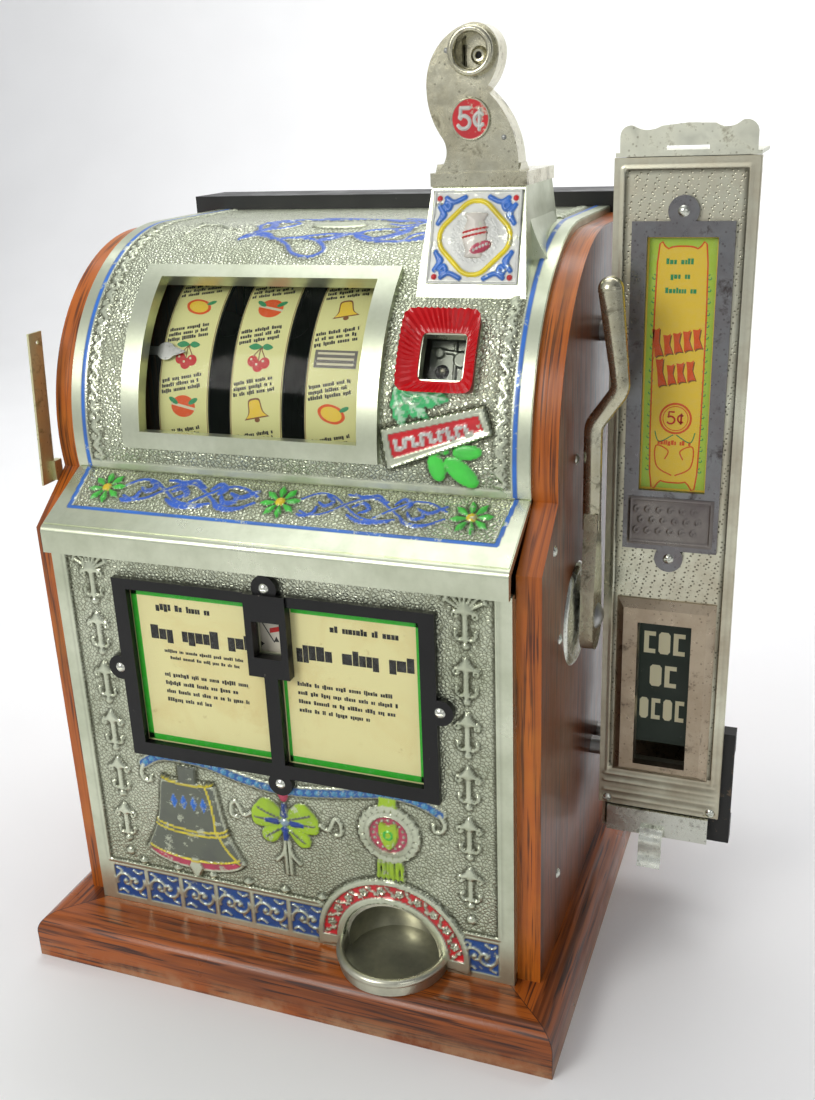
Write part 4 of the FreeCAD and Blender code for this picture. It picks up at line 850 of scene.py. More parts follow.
def cup_arch(sheet):
    """The raised arch around the payout cup: two plain rims with flowers between them on red."""
    centre = (CUP_X, CUP_Z)
    rims = np.concatenate([arc(centre, 57, -8, 188, 60), arc(centre, 37, 188, -8, 50)])
    sheet.shape(rims, 2.6, 1.2, None, "set")
    field = np.concatenate([arc(centre, 52.5, 2, 178, 56), arc(centre, 42.5, 178, 2, 46)])
    sheet.shape(field, 1.0, 1.0, RED, "set")
    for index in range(21):
        angle = 7 + index * 8.3
        place = arc(centre, 47.5, angle, angle, 1)[0]
        if index % 2:
            for petal in petals(place, 0.6, 4.2, 5, angle + 45, 1.3):
                sheet.dome(petal, 2.8)
            sheet.dome(disc(place, 1.3, 8), 3.2)
        else:
            wave = smooth_line([(-3.6, -3.4), (-0.5, -1), (0.5, 1), (3.6, 3.4)], 4)
            sheet.stroke(turned(wave, angle, shift=place), 1.5, 2.4)
            for side in (-1, 1):
                spot = arc(centre, 47.5 + side * 2.7, angle + side * 1.8, angle + side * 1.8, 1)[0]
                sheet.dome(disc(spot, 1.5, 8), 2.6)


def ribbon(sheet):
    """The beaded blue bracket under the card frame, with a curl at each end."""
    line = smooth_line([(-112, 161), (-100, 168.5), (-85, 170.5), (-60, 169), (-34, 162.5), (-10, 158.8),
                        (12, 159.5), (40, 163.5), (74, 169.5), (96, 168.5), (114, 161)], 8)
    sheet.stroke(line, 8.4, 1.6, None)
    sheet.stroke(line, 5.6, 1.7, RIBBON_BLUE)
    steps = np.cumsum(np.r_[0, np.linalg.norm(np.diff(line, axis=0), axis=1)])
    for length in np.arange(3, steps[-1] - 2, 6.6):
        spot = (np.interp(length, steps, line[:, 0]), np.interp(length, steps, line[:, 1]))
        sheet.dome(disc(spot, 2.0, 10), 3.0, BEAD_BLUE)
    curl = smooth_line([(0, 0), (3, -7), (1, -12.5), (-4, -13), (-5, -9)], 5)
    for side, x in ((-1, -112), (1, 114)):
        sheet.stroke(beside(curl, side, (x, 160)), 2.4, 1.7)


def lower_front():
    """The lower front: pebbled ground, hanging columns, and the ornaments around the card and the cup."""
    sheet = Relief((-HALF_INSIDE, HALF_INSIDE), (34.2, 321.5), 0.9)
    sheet.height[:] = 1.0
    panel = rectangle(-153.5, 153.5, 70, 330)
    sheet.shape(panel, 0.0, 1.6, None, "set")
    sheet.ground(panel)
    sheet.stroke([(-153.8, 330), (-153.8, 69.8), (20, 69.8)], 1.6, 1.6)
    sheet.stroke([(130, 69.8), (153.8, 69.8), (153.8, 330)], 1.6, 1.6)
    for side in (-1, 1):
        drop_column(sheet, side * 134, 312, 6, 38.6)
        sheet.dome(disc((side * 134, 81), 3.2, 16), 2.2)
        sheet.stroke(arc((side * 134, 309), 15, 25, 155, 20), 1.8, 1.6)
        for angle in range(30, 151, 20):
            ray = [arc((side * 134, 309), reach, angle, angle, 1)[0] for reach in (4, 13)]
            sheet.stroke(ray, 1.6, 1.4)
    blue_squares(sheet)
    ribbon(sheet)
    bell(sheet)
    bow(sheet)
    rosette(sheet)
    cup_arch(sheet)
    under_frame = (np.abs(sheet.u) < 113) & (sheet.v > 174) & (sheet.v < 304)
    u, v = sheet.u - CUP_X, sheet.v - CUP_Z
    cup = (u ** 2 + v ** 2 < 36.6 ** 2) | ((np.abs(u) < 39.6) & (v < 0.6))
    sheet.keep[:] = ~(under_frame | cup)
    sheet.build("lower_front_relief", facing_front(FRONT_Y), 0.9, "casting")


def leaf_stroke(sheet, points, wide, colour):
    """A line that swells in its middle and thins to both ends, as a leaf or a brushed scroll does."""
    line = smooth_line(points, 7)
    count = len(line)
    for index in range(0, count - 1, 2):
        share = (index + 1) / count
        part = line[index:index + 3]
        swell = math.sin(math.pi * min(share * 1.05, 1)) ** 0.8
        sheet.stroke(part, wide * (0.25 + 0.85 * swell), 1.1, colour)


def running_scroll(sheet, start, end, wide):
    """A vine of crossing waves between two flowers, with a curled leaf in every bend."""
    span = end - start

    def put(points):
        return [(start + u * span, 37.5 + v) for u, v in points]
    waves = ([(0.0, 4), (0.1, 10), (0.2, 9), (0.3, 2), (0.42, -7), (0.55, -9), (0.66, -7)],
             [(0.02, -6), (0.1, -9), (0.2, -6), (0.3, 2), (0.4, 8), (0.5, 9), (0.62, 1), (0.74, -8),
              (0.86, -9), (0.97, -3)],
             [(0.52, -7), (0.62, 1), (0.74, 9), (0.86, 9), (0.97, 3)],
             [(0.3, 11), (0.38, 10.5), (0.5, 11.5), (0.58, 7)])
    for wave in waves:
        line = smooth_line(put(wave), 8)
        sheet.stroke(line, wide * 0.5 + 1.3, 0.8, None)
        sheet.stroke(line, wide * 0.5, 1.0, BLUE)
    leaves = ([(0.01, -9), (0.05, -10), (0.11, -7), (0.12, -1)], [(0.16, 9), (0.22, 4), (0.17, 0), (0.12, 3)],
              [(0.36, 1), (0.42, 5), (0.47, 0), (0.41, -4)], [(0.34, 12), (0.42, 9.5), (0.5, 12), (0.57, 6)],
              [(0.34, -6), (0.42, -10.5), (0.52, -11), (0.63, -9)],
              [(0.68, -3), (0.73, -9), (0.83, -10), (0.92, -7)],
              [(0.72, 1), (0.76, -5), (0.83, -3), (0.82, 1)], [(0.78, 4), (0.86, 1), (0.93, 5), (0.97, 8)],
              [(0.63, 6), (0.68, 11), (0.73, 7), (0.69, 2)])
    for leaf in leaves:
        leaf_stroke(sheet, put(leaf), wide, BLUE)


def step_top():
    """The sloped top of the step, with three flowers and a vine between them."""
    sheet = Relief((-HALF_INSIDE + 0.6, HALF_INSIDE - 0.6), (1.0, 55.6), 0.8)
    panel = np.array([(-150, 18.5), (150, 18.5), (154, 60), (-154, 60)], float)
    sheet.height[:] = 0.5
    sheet.shape(panel, 0.0, 1.4, None, "set")
    sheet.ground(panel * (0.99, 1.0) + (0, 1))
    sheet.stroke([(-155.5, 60), (-151.5, 17.5), (151.5, 17.5), (155.5, 60)], 2.6, 0.7, SKY)
    for x in (-131, 1, 131):
        for petal in petals((x, 37.5), 2, 14.5, 8, 10, 0.62):
            sheet.dome(petal, 1.9, BRIGHT_GREEN)
        sheet.dome(disc((x, 37.5), 3.4, 16), 2.4, AMBER)
    running_scroll(sheet, -117, -14, 4.0)
    running_scroll(sheet, 15, 117, 2.4)
    place = slope_place((-159.0, 341.2), (-109.5, 368.0))
    sheet.build("step_relief", place, 0.6, "casting", base=0.25)


def arch_scroll(sheet):
    """Open scrollwork on the crown of the arch: two looped arms, mirrored leaves and a hanging loop."""
    crown = ARCH_R * math.radians(80)
    arms = ([(-34, -24), (-20, -22), (-4, -26), (6, -38), (-2, -46), (-16, -42), (-24, -32), (-34, -24)],
            [(-34, -24), (-52, -18), (-62, -22), (-54, -10), (-38, -4), (-30, 6), (-40, 12), (-54, 8),
             (-60, 0)],
            [(-20, -22), (2, -16), (24, -18), (40, -24), (52, -18), (46, -8), (30, -10), (22, -18),
             (34, -26), (58, -27), (78, -22)],
            [(-54, -10), (-58, 4), (-46, 18), (-26, 22), (-6, 20), (16, 24)],
            [(46, -8), (60, -2), (56, 10), (40, 18), (16, 24), (-2, 30), (-24, 30)],
            [(58, -27), (66, -16), (80, -14), (92, -20), (100, -16)],
            [(40, 4), (52, 0), (64, 8), (58, 20), (44, 26)])
    leaves = ([(-64, -24), (-58, -16), (-46, -16), (-38, -24)], [(-4, -26), (6, -22), (14, -16), (26, -15)],
              [(-56, -12), (-48, -4), (-50, 6), (-58, 10)], [(36, -24), (46, -20), (56, -12), (58, -2)],
              [(66, -24), (76, -18), (88, -20), (98, -26)], [(-44, 16), (-34, 24), (-20, 22), (-10, 28)],
              [(30, 20), (44, 14), (56, 16), (66, 10)])
    for arm in arms:
        line = smooth_line(arm, 6) + (-4, crown)
        sheet.stroke(line, 3.8, 0.9, None)
        sheet.stroke(line, 2.5, 1.1, BLUE)
    for leaf in leaves:
        leaf_stroke(sheet, np.array(leaf, float) + (-4, crown), 5.4, BLUE)
    sheet.dome(disc((-2, crown + 2), (20, 7), 28), 1.8)
    for side in (-1, 1):
        feeler = smooth_line([(-80 + side * 4, -6), (-96, 4), (-110, 6), (-116, 14 * side)], 6)
        sheet.stroke(feeler + (0, crown), 2.0, 1.0)


def label_tag(sheet):
    """A slanted tag with a red field and plain raised blocks instead of a name."""
    scale = (1, ARCH_R * math.radians(1))
    tag = np.array([(68.5, 8.2), (133.6, 15.4), (139, 9), (72.6, -1.7)]) * scale
    field = np.array([(72.4, 7.2), (130.8, 13.4), (134.6, 9.8), (75.6, 1.0)]) * scale
    sheet.shape(tag, 2.6, 1.4, None)
    sheet.shape(field, 1.9, 1.0, RED, "set")
    sheet.stroke(tag, 1.8, 3.3, None, True)
    along = (tag[1] - tag[0]) / np.linalg.norm(tag[1] - tag[0])
    across = np.array((-along[1], along[0]))
    start = (field[0] + field[3]) / 2 + along * 4
    for index in range(9):
        middle = start + along * 5.9 * index
        reach = across * (3.9 if index % 3 else 4.6) * 0.6
        end = middle - reach * (-1) ** index
        sheet.stroke([middle - reach, middle + reach], 1.9, 3.0, WHITE)
        sheet.stroke([end + along, end + along * 3.2], 1.6, 3.0, WHITE)


def arch_top():
    """The arched front and crown, with vines, leaves and a tag; the windows and the pedestal stay open."""
    low, high = -ARCH_R * ARCH_FOOT + 1.2, ARCH_R * math.pi / 2 + 99.4
    sheet = Relief((-HALF_INSIDE + 0.5, HALF_INSIDE - 0.5), (low, high), 1.05)
    sheet.height[:] = 0.45
    panel = rectangle(-151.5, 151.5, low + 5, high + 5)
    sheet.shape(panel, 0.0, 1.4, None, "set")
    sheet.ground(panel)
    for side in (-1, 1):
        sheet.stroke([(side * 154, low - 2), (side * 154, high + 2)], 2.1, 0.65, SKY)
        up = np.arange(low + 6, high - 4, 0.8)
        vine = np.stack([side * 145 + 2.6 * np.sin(up * 2 * math.pi / 13.5), up], 1)
        sheet.stroke(vine, 1.9, 1.1)
        for index, length in enumerate(np.arange(low + 8, high - 6, 6.75)):
            curl = spiral((side * 145 + (1.8 if index % 2 else -1.8), length), 2.3, 0.9, 90, 380, 9)
            sheet.stroke(curl, 1.1, 1.0)
        sheet.ground(rectangle(*sorted((side * 140, side * 151)), low + 7, high - 5), 0.15)
    arch_scroll(sheet)
    leaf = smooth_line([(0, 0), (6, 5), (9, 4.6), (13, 7), (16, 5.8), (21, 6.4), (23, 4), (29, 1),
                        (23, -2.6), (20, -5.4), (15, -4.4), (11, -6), (7, -4)], 3, True)
    for turn, shift, size_share in ((-12, (76, 46), 1.25), (-38, (75, 45), 1.0), (-74, (75, 45), 0.85)):
        blade = turned(leaf, turn, shift=shift, scale=size_share)
        sheet.dome(blade, 1.9, LEAF_GREEN)
        tip = blade[21]
        sheet.stroke([blade[0], blade[0] + (tip - blade[0]) * 0.9], 1.0, 2.3, PALE_GREEN)
        for share in (0.3, 0.5, 0.7):
            root = blade[0] + (tip - blade[0]) * share
            for side in (-38, 38):
                sheet.stroke([root, root + turned([tip - blade[0]], side)[0] * 0.17], 0.8, 2.2, PALE_GREEN)
    for turn, shift, radii in ((5, (124, 8.5), (9.5, 4.6)), (-38, (120, -4.5), (13, 6.6)),
                               (-78, (104, -2), (9.5, 5.6)), (12, (109, 8.5), (3.6, 2.4))):
        sheet.dome(turned(disc((0, 0), radii), turn, shift=shift), 2.0, MINT_GREEN)
    label_tag(sheet)
    u, v = sheet.u, sheet.v
    turn = np.degrees(v / ARCH_R)
    reel_frame = (u > -120) & (u < 65) & (turn > -0.2) & (turn < 54.2)
    coin_frame = (u > 79.5) & (u < 125.5) & (turn > 19.8) & (turn < 38.2)
    back = ARCH_Y + np.clip(v - ARCH_R * math.pi / 2, 0, None)
    pedestal = (u > 79) & (u < 151.5) & (turn > 46.5) & (back < ARCH_Y + 8)
    flare = (u > 140) & (u < 158) & (turn > 60) & (back < 18.5)
    sheet.keep[:] = ~(reel_frame | coin_frame | pedestal | flare)
    sheet.build("arch_relief", arch_place, 0.8, "casting", base=0.3)


def pedestal_panel():
    """The enamelled square on the pedestal: a yellow quatrefoil with a plain vase in it."""
    sheet = Relief((-29.5, 29.5), (23.5, 81.5), 0.5)
    middle = 52.0
    corner = [(-29, 24), (29, 24), (27.5, 81), (-27.5, 81)]
    sheet.shape(corner, 0.5, 1.0, WHITE)
    sheet.stroke(corner, 1.6, 1.3, WHITE, True)
    lobe = arc((10.5, 0), 12.4, -50, 50, 20)
    quatrefoil = np.concatenate([turned(lobe, turn, shift=(0, middle)) for turn in range(0, 360, 90)])
    sheet.stroke(quatrefoil, 2.8, 1.6, GOLD, True)
    for side in (-1, 1):
        for high in (-1, 1):
            sheet.dome(disc((side * 24.5, middle + high * 24.3), 1.8, 12), 1.6, RED)
            for points in ([(24.5, 20), (22, 15), (24.5, 9)], [(20, 24.5), (15, 22), (8, 25)],
                           [(21, 20), (18.5, 17.5), (17, 20.5), (20, 22)],
                           [(23, 11), (20.5, 14), (22, 17)]):
                line = smooth_line(points, 5) * (side, high) + (0, middle)
                sheet.stroke(line, 3.0, 1.5, SKY)
    sheet.ground(disc((0, middle), 16), 0.3)
    vase = smooth_line([(-7, 15), (7, 15), (5.5, 11), (7, 6), (8, 0), (5, -8), (5, -12),
                        (-5, -12), (-5, -8), (-8, 0), (-7, 6), (-5.5, 11)], 3, True)
    sheet.dome(vase + (0, middle), 2.6, STONE)
    for z in (4.5, 1.5):
        sheet.stroke(np.array([(-7.2, z - 1.5), (7.4, z + 1.8)]) + (0, middle), 0.9, 3.0, RED)
    sheet.dome(turned(disc((0, 0), (7, 3.2)), 24, shift=(4.5, middle - 6)), 2.9, ROSE)
    for index in range(5):
        spot = turned([(-4.4 + 2.2 * index, 0)], 24, shift=(4.5, middle - 6))[0]
        sheet.dome(disc(spot, 0.8, 8), 3.4, WHITE)
    slope = slope_place((-76.0, 470.0), (-47.0, 549.0))
    sheet.build("pedestal_panel", lambda u, v, h: slope(u + 114.7, v, h), 0.5, "casting", base=0.15)


lower_front()
step_top()
arch_top()
pedestal_panel()


# ---------------------------------------------------------------- fittings on the casting

def coin_frame():
    """A red, fluted dish around the coin window."""
    inner_low, inner_high = ARCH_R * math.radians(21.6), ARCH_R * math.radians(34.4)
    outer_low, outer_high = ARCH_R * math.radians(18.6), ARCH_R * math.radians(40.4)
    around, rings = 176, 9
    points, faces = [], []

    def square(left, right, low, high, share):
        """A point on a rectangle's edge, with the corners rounded off."""
        turn = 2 * math.pi * share
        u, v = math.cos(turn), math.sin(turn)
        reach = (abs(u) ** 9 + abs(v) ** 9) ** (-1 / 9) / 2
        return (left + right) / 2 + (right - left) * u * reach, (low + high) / 2 + (high - low) * v * reach

    for under in (0, 1):
        for ring in range(rings):
            t = ring / (rings - 1)
            for index in range(around):
                share = index / around
                flute = math.cos(2 * math.pi * 44 * share)
                inner = square(90.2, 119.8, inner_low, inner_high, share)
                reach = 1 + 0.012 * flute
                outer = square(77.2 - 2 * (reach - 1), 127.4, outer_low, outer_high, share)
                u = inner[0] + (outer[0] - inner[0]) * t * reach
                v = inner[1] + (outer[1] - inner[1]) * t * reach
                height = 3.7 + 4.6 * t ** 1.3 + 0.65 * flute * math.sin(math.pi * min(1, t * 0.75))
                points.append((u, v, height - (1.3 * min(1, 0.45 + t) if under else 0)))
    size_side = rings * around
    for ring in range(rings - 1):
        for index in range(around):
            near, far = ring * around + index, ring * around + (index + 1) % around
            face = (near, near + around, far + around, far)
            faces += [face, [corner + size_side for corner in reversed(face)]]
    for index in range(around):
        far = (index + 1) % around
        faces.append((index + size_side, index, far, far + size_side))
        rim = (rings - 1) * around
        faces.append((rim + far + size_side, rim + far, rim + index, rim + index + size_side))
    flat = np.array(points)
    item = piece("coin_window_dish", arch_place(flat[:, 0], flat[:, 1], flat[:, 2]), faces, "red_enamel")
    face_outward(item)


def face_outward(item):
    """Turn every face outward."""
    shape = bmesh.new()
    shape.from_mesh(item.data)
    bmesh.ops.recalc_face_normals(shape, faces=shape.faces)
    shape.to_mesh(item.data)
    shape.free()


def turned_piece(name, profile, place, material, count=48):
    """A lathe shape from (radius, height) marks; place(u, v, height) puts it."""
    faces, flat = [], []
    for radius, height in profile:
        flat += [(x, y, height) for x, y in disc((0, 0), radius, count)]
    for row in range(len(profile) - 1):
        for near in range(count):
            far, above = (near + 1) % count, (row + 1) * count
            faces.append((row * count + near, row * count + far, above + far, above + near))
    faces.append(tuple(range(count))[::-1])
    faces.append(tuple(range((len(profile) - 1) * count, len(profile) * count)))
    flat = np.array(flat)
    item = piece(name, place(flat[:, 0], flat[:, 1], flat[:, 2]), faces, material)
    face_outward(item)


def five(scale, centre):
    """The strokes of a figure five and a cent sign."""
    bowl = np.concatenate([[(-5.6, 0.6)], arc((-4.0, -1.4), (3.4, 3.2), 130, -150, 16)])
    lines = ([(-0.8, 5.6), (-5.4, 5.6), (-5.8, 1.2)], bowl, arc((4.6, -0.2), (2.7, 3.2), 50, 310, 16),
             [(4.9, 4.6), (4.5, -5.0)])
    return [np.array(line, float) * scale + centre for line in lines]


def price_disc():
    """The red enamelled disc with the price, on the coin head."""
    sheet = Relief((-12.8, 12.8), (-12.8, 12.8), 0.32)
    sheet.shape(disc((0, 0), 12.2, 48), 1.3, 0.8, RED)
    sheet.stroke(disc((0, 0), 11.9, 48), 1.0, 1.8, None, True)
    for line in five(1.16, (0.4, -0.2)):
        sheet.stroke(line, 2.1, 2.1, WHITE)
    sheet.keep[:] = sheet.u ** 2 + sheet.v ** 2 < 12.6 ** 2
    sheet.build("price_disc", facing_front(HEAD_Y, 110.3, 588), 0.5, "casting", base=0.1,
                slot="cast_aluminium")


def head_boss():
    """A small drilled boss at the back of the coin cup, with a near-black plug of painted shade in its hole.
    """
    cup_back = facing_front(-42.0, 114.6, 623.6)
    boss = [(1.7, -0.5), (1.7, 2.0), (2.2, 2.7), (3.4, 2.9), (4.4, 2.2), (4.8, 0.6), (5.4, 0.2), (5.4, -0.5)]
    turned_piece("coin_cup_boss", boss, cup_back, "nickel")
    turned_piece("coin_cup_hole_shade", [(1.66, 0.1), (1.66, 1.2), (0.6, 1.3)], cup_back, "hollow")


def head_pins():
    """Two small pins in the face of the coin head."""
    for number, (x, z) in enumerate(((95.5, 627.0), (131.0, 577.0))):
        turned_piece(f"coin_head_pin_{number}", [(1.6, -1.0), (1.6, 0.2), (1.0, 0.7), (0.4, 0.8)],
                     facing_front(HEAD_Y, x, z), "grey_nickel", count=20)


def coin_checks():
    """What shows through the coin window: a plate with a coin, a feeler's pin, and a near-black disc of
    painted shade for a hole.
    """
    turn = math.radians(28.2)

    def place(u, v, h):
        reach = 119 + h
        return np.stack([106 + u, ARCH_Y - reach * math.cos(turn) + v * math.sin(turn),
                         ARCH_Z + reach * math.sin(turn) + v * math.cos(turn)], -1)
    sheet = Relief((-15, 15), (-15, 15), 0.6)
    sheet.stroke([(-13, 9), (13, 6)], 2.6, 1.4)
    sheet.stroke([(1, 15), (3, -15)], 2.0, 1.2)
    sheet.shape(disc((6, 3), 5.2), 1.6)
    sheet.shape(disc((-9, 7), 3.4), 1.8)
    sheet.build("coin_check_plate", place, 1.2, "check", slot="steel")
    turned_piece("coin_check_hole_shade", [(4.6, -0.2), (4.6, 0.5), (3.8, 0.9), (0.5, 0.9)],
                 lambda u, v, h: place(u - 6, v - 5, h), "hollow")
    turned_piece("coin_check_pin", [(1.8, 0.0), (1.8, 3.0), (1.1, 3.8), (0.3, 4.0)],
                 lambda u, v, h: place(u - 5, v - 5, h), "nickel")


# ---------------------------------------------------------------- printed cards, reels and flag

def award_prints():
    """Green borders and blocks for print on both award cards, and marks around the dial."""
    sheet = Print()
    for side, heads in ((-1, ((-87, 284, 42), (-93, 262, 80))), (1, ((42, 283, 48), (17, 261, 86)))):
        inner, outer = side * 6.0, side * 105.4
        for line, wide in (([(outer - side * 2.2, 182), (outer - side * 2.2, 297)], 4.4),
                           ([(inner, 184), (outer, 184)], 4.6),
                           ([(inner + side * 1.2, 182), (inner + side * 1.2, 252)], 2.4),
                           ([(side * 15, 295.2), (outer, 295.2)], 3.0)):
            sheet.line(line, wide, "ink_green")
        (x, z, wide), (bold_x, bold_z, bold_wide) = heads
        sheet.words((x, z), wide, 4.6, "ink_black", fill=0.88)
        sheet.words((bold_x, bold_z), bold_wide, 10.4, "ink_black", fill=0.93)
    for start, wide, tall in (((-84, 252.5), 62, 2.4), ((-80, 247.5), 56, 2.4), ((-86, 234), 66, 3.0),
                              ((-86, 227.5), 60, 3.0), ((-86, 221), 66, 3.0), ((-86, 214.5), 36, 3.0),
                              ((16, 241), 68, 3.0), ((16, 234.5), 72, 3.0), ((16, 228), 70, 3.0),
                              ((16, 221.5), 52, 3.0)):
        sheet.words(start, wide, tall, "ink_black")
    sheet.build("award_card_print", facing_front(AWARD_CARD_Y), "cabinet")
    sheet = Print()
    for turn in range(0, 360, 36):
        for points, colour in (([(-4.5, 24), (4.5, 26.5), (4.5, 30), (-4.5, 27.5)], "ink_red"),
                               ([(-2, 18), (2, 18), (0, 22)], "ink_black")):
            sheet.shape(turned(points, turn), colour)
        sheet.line(turned([(9.0, 15), (10.6, 33)], turn), 0.8, "ink_black")
    sheet.build("dial_print", facing_front(DIAL_Y, 0, DIAL_Z), "indicator_dial")


def cherries(sheet, x, v):
    for du, dv in ((-4.6, -3.4), (4.2, -4.4), (-0.4, -6.8)):
        sheet.shape(disc((x + du, v + dv), 3.9, 18), "ink_red", 2)
        sheet.shape(disc((x + du - 1.2, v + dv + 1.3), 0.9, 8), "ink_cream", 3)
        sheet.line([(x + du, v + dv + 3.4), (x + du * 0.3, v + 4), (x + 1.2, v + 7)], 0.7, "ink_brown", 3)
    for side in (-1, 1):
        leaf = smooth_line([(1, 6.4), (side * 4, 9), (side * 9, 6.6), (side * 5, 4.4)], 3, True)
        sheet.shape(leaf + (x, v), "ink_leaf", 3)


def orange(sheet, x, v):
    sheet.shape(disc((x, v), (9.2, 7.4), 26), "ink_orange", 2)
    sheet.shape(turned(rectangle(x - 9.5, x + 9.5, v - 0.9, v + 0.9), -11, (x, v)), "ink_cream", 3)
    for side in (-1, 1):
        leaf = turned(disc((0, 0), (4, 1.7), 14), 30 * side, shift=(x + side * 7.5, v + 3.6))
        sheet.shape(leaf, "ink_leaf", 3)


def lemon(sheet, x, v):
    rind = smooth_line([(-10, 0), (-5, 5.4), (5, 5.4), (10, 0), (5, -5.4), (-5, -5.4)], 5, True)
    sheet.shape(turned(rind, -14, shift=(x, v)), "ink_orange", 2)
    sheet.shape(turned(disc((0, 0), (7.6, 4.6), 24), -14, shift=(x, v)), "ink_gold", 3)
    sheet.shape(turned(disc((0, 0), (3.6, 1.5), 12), 24, shift=(x + 9, v + 3.4)), "ink_leaf", 3)


def gold_bell(sheet, x, v):
    half = [(1.6, 8), (4.4, 6.4), (5.6, -1.4), (9.4, -5.6)]
    outline = np.concatenate([smooth_line(half, 4), (smooth_line(half, 4) * (-1, 1))[::-1]])
    sheet.shape(turned(outline + (x, v), 12, (x, v)), "ink_brown", 2)
    sheet.shape(turned(outline * 0.84 + (x, v), 12, (x, v)), "ink_gold", 3)
    sheet.shape(turned(disc((x, v - 6.6), (2.0, 1.6), 12), 12, (x, v)), "ink_brown", 3)


def grey_label(sheet, x, v):
    sheet.shape(rectangle(x - 15, x + 15, v - 6, v + 6), "ink_grey", 2)
    for low in (v - 4.2, v - 0.6, v + 3.0):
        sheet.shape(rectangle(x - 13, x + 13, low, low + 1.5), "ink_cream", 3)


def reel_prints():
    """Fruit, bells and labels around each reel, with blocks for print between them."""
    orders = {"left": (orange, cherries, lemon), "centre": (gold_bell, cherries, orange),
              "right": (lemon, grey_label, gold_bell)}
    pitch = 2 * math.pi * REEL_R / 20
    for name, x in REEL_X.items():
        sheet = Print(2.4)
        shown = math.radians(11.0) * REEL_R
        for stop in range(20):
            v = shown + stop * pitch
            symbol = orders[name][stop % 3] if stop < 3 else orders[name][(stop * 2 + 1) % 3]
            symbol(sheet, 0.0, v)
            for dv, wide in ((10.6, 31), (14.4, 30), (18.2, 31)):
                sheet.words((-16.6, v + dv - 2.8), wide, 2.6, "ink_black", 11)
        for side in (-1, 1):
            for low in np.arange(0, 20 * pitch, pitch / 4):
                edge = side * 18.4
                sheet.shape(rectangle(edge - 0.25, edge + 0.25, low, low + pitch / 4), "ink_brown")

        def place(u, v, height):
            turn = v / REEL_R
            return np.stack([x + u, REEL_Y - (REEL_R + height) * np.cos(turn),
                             REEL_Z + (REEL_R + height) * np.sin(turn)], -1)
        sheet.build(f"reel_{name}_print", place, f"reel_{name}")


def gum_card_print():
    """The vendor's card: a framed field with plain blocks, a price and a scrolled foot."""
    sheet = Print()
    x, low, high = VENDOR_X, 350.0, 515.0
    sheet.shape(rectangle(x - 20.75, x + 20.75, low + 1, high - 1), "ink_lime")
    field = smooth_line([(-15.5, 12), (-15.5, 149), (-9, 157.5), (0, 159), (9, 157.5), (15.5, 149),
                         (15.5, 12), (8, 6), (0, 5), (-8, 6)], 4, True) + (x, low)
    sheet.shape(field, "ink_gold", 2)
    closed = np.concatenate([field, field[:1]])
    sheet.line(closed, 1.0, "ink_orange", 4)
    for side in (-1, 1):
        for z in np.arange(low + 14, high - 20, 7.4):
            sheet.line(spiral((x + side * 17.4, z), 2.0, 0.6, 90, 90 + side * 300, 9), 0.6, "ink_leaf", 3)
        foot = smooth_line([(1, 10), (11, 16), (12, 30), (4, 27), (6, 21)], 6)
        sheet.line(beside(foot, side, (x, low)), 0.9, "ink_orange", 3)
        sprig = smooth_line([(1, 38), (10, 33), (13, 40)], 5)
        sheet.line(beside(sprig, side, (x, low)), 0.7, "ink_leaf", 3)
    for z, wide in ((high - 17, 20), (high - 26, 14), (high - 35, 20)):
        sheet.words((x - wide / 2, z), wide, 3.6, "ink_leaf", 0, 3)
    for row, (z, count) in enumerate(((443, 5), (423, 4))):
        for index in range(count):
            tall = 17.5 if index == 0 else 12.5
            corners = [(0, -1), (2.0, 0), (3.8, 0), (5.4, -0.6), (4.4, tall * 0.5), (6.6, tall),
                       (4.4, tall - 1),
                       (1.6, tall), (1.2, tall * 0.5)]
            block = turned(np.array(corners) + (3 * row + index * 6.3 - 15.6, 0), 12, shift=(x, z))
            sheet.shape(block + (0.8, -0.8), "ink_brown", 3)
            sheet.shape(block, "ink_orange", 4)
    centre = (x, 399)
    sheet.ring(centre, 10.6, 9.2, "ink_orange", 3)
    sheet.ring(centre, 8.4, 7.8, "ink_orange", 3)
    for line in five(0.78, centre):
        sheet.line(line, 1.2, "ink_red", 4)
    sheet.words((x - 11, 381), 22, 3.2, "ink_orange", 0, 3)
    sheet.build("gum_card_print", facing_front(GUM_CARD_Y), "cabinet")


def flag_print():
    """Pale blocks on the dark flag: three rows, three, two and four wide."""
    sheet = Print()
    for z, count, wide in ((225, 3, 31), (199, 2, 21), (172, 4, 34)):
        for index in range(count):
            u = VENDOR_X - wide / 2 + index * wide / count
            width = wide / count - 2.2
            end = u + width
            corners = [(u, z + 2), (u + 1.6, z), (end - 1.6, z), (end, z + 2), (end, z + 15),
                       (end - 1.6, z + 17),
                       (u + 1.6, z + 17), (u, z + 15)]
            if (index + count) % 2:
                stem = u + width * 0.42
                sheet.shape(rectangle(u, stem, z, z + 17), "ink_cream")
                for low in (z, z + 13.6):
                    sheet.shape(rectangle(stem, end, low, low + 3.4), "ink_cream")
            else:
                sheet.shape(corners, "ink_cream")
    sheet.build("flag_print", facing_front(FLAG_Y), "vendor_flag")


# ---------------------------------------------------------------- vendor front

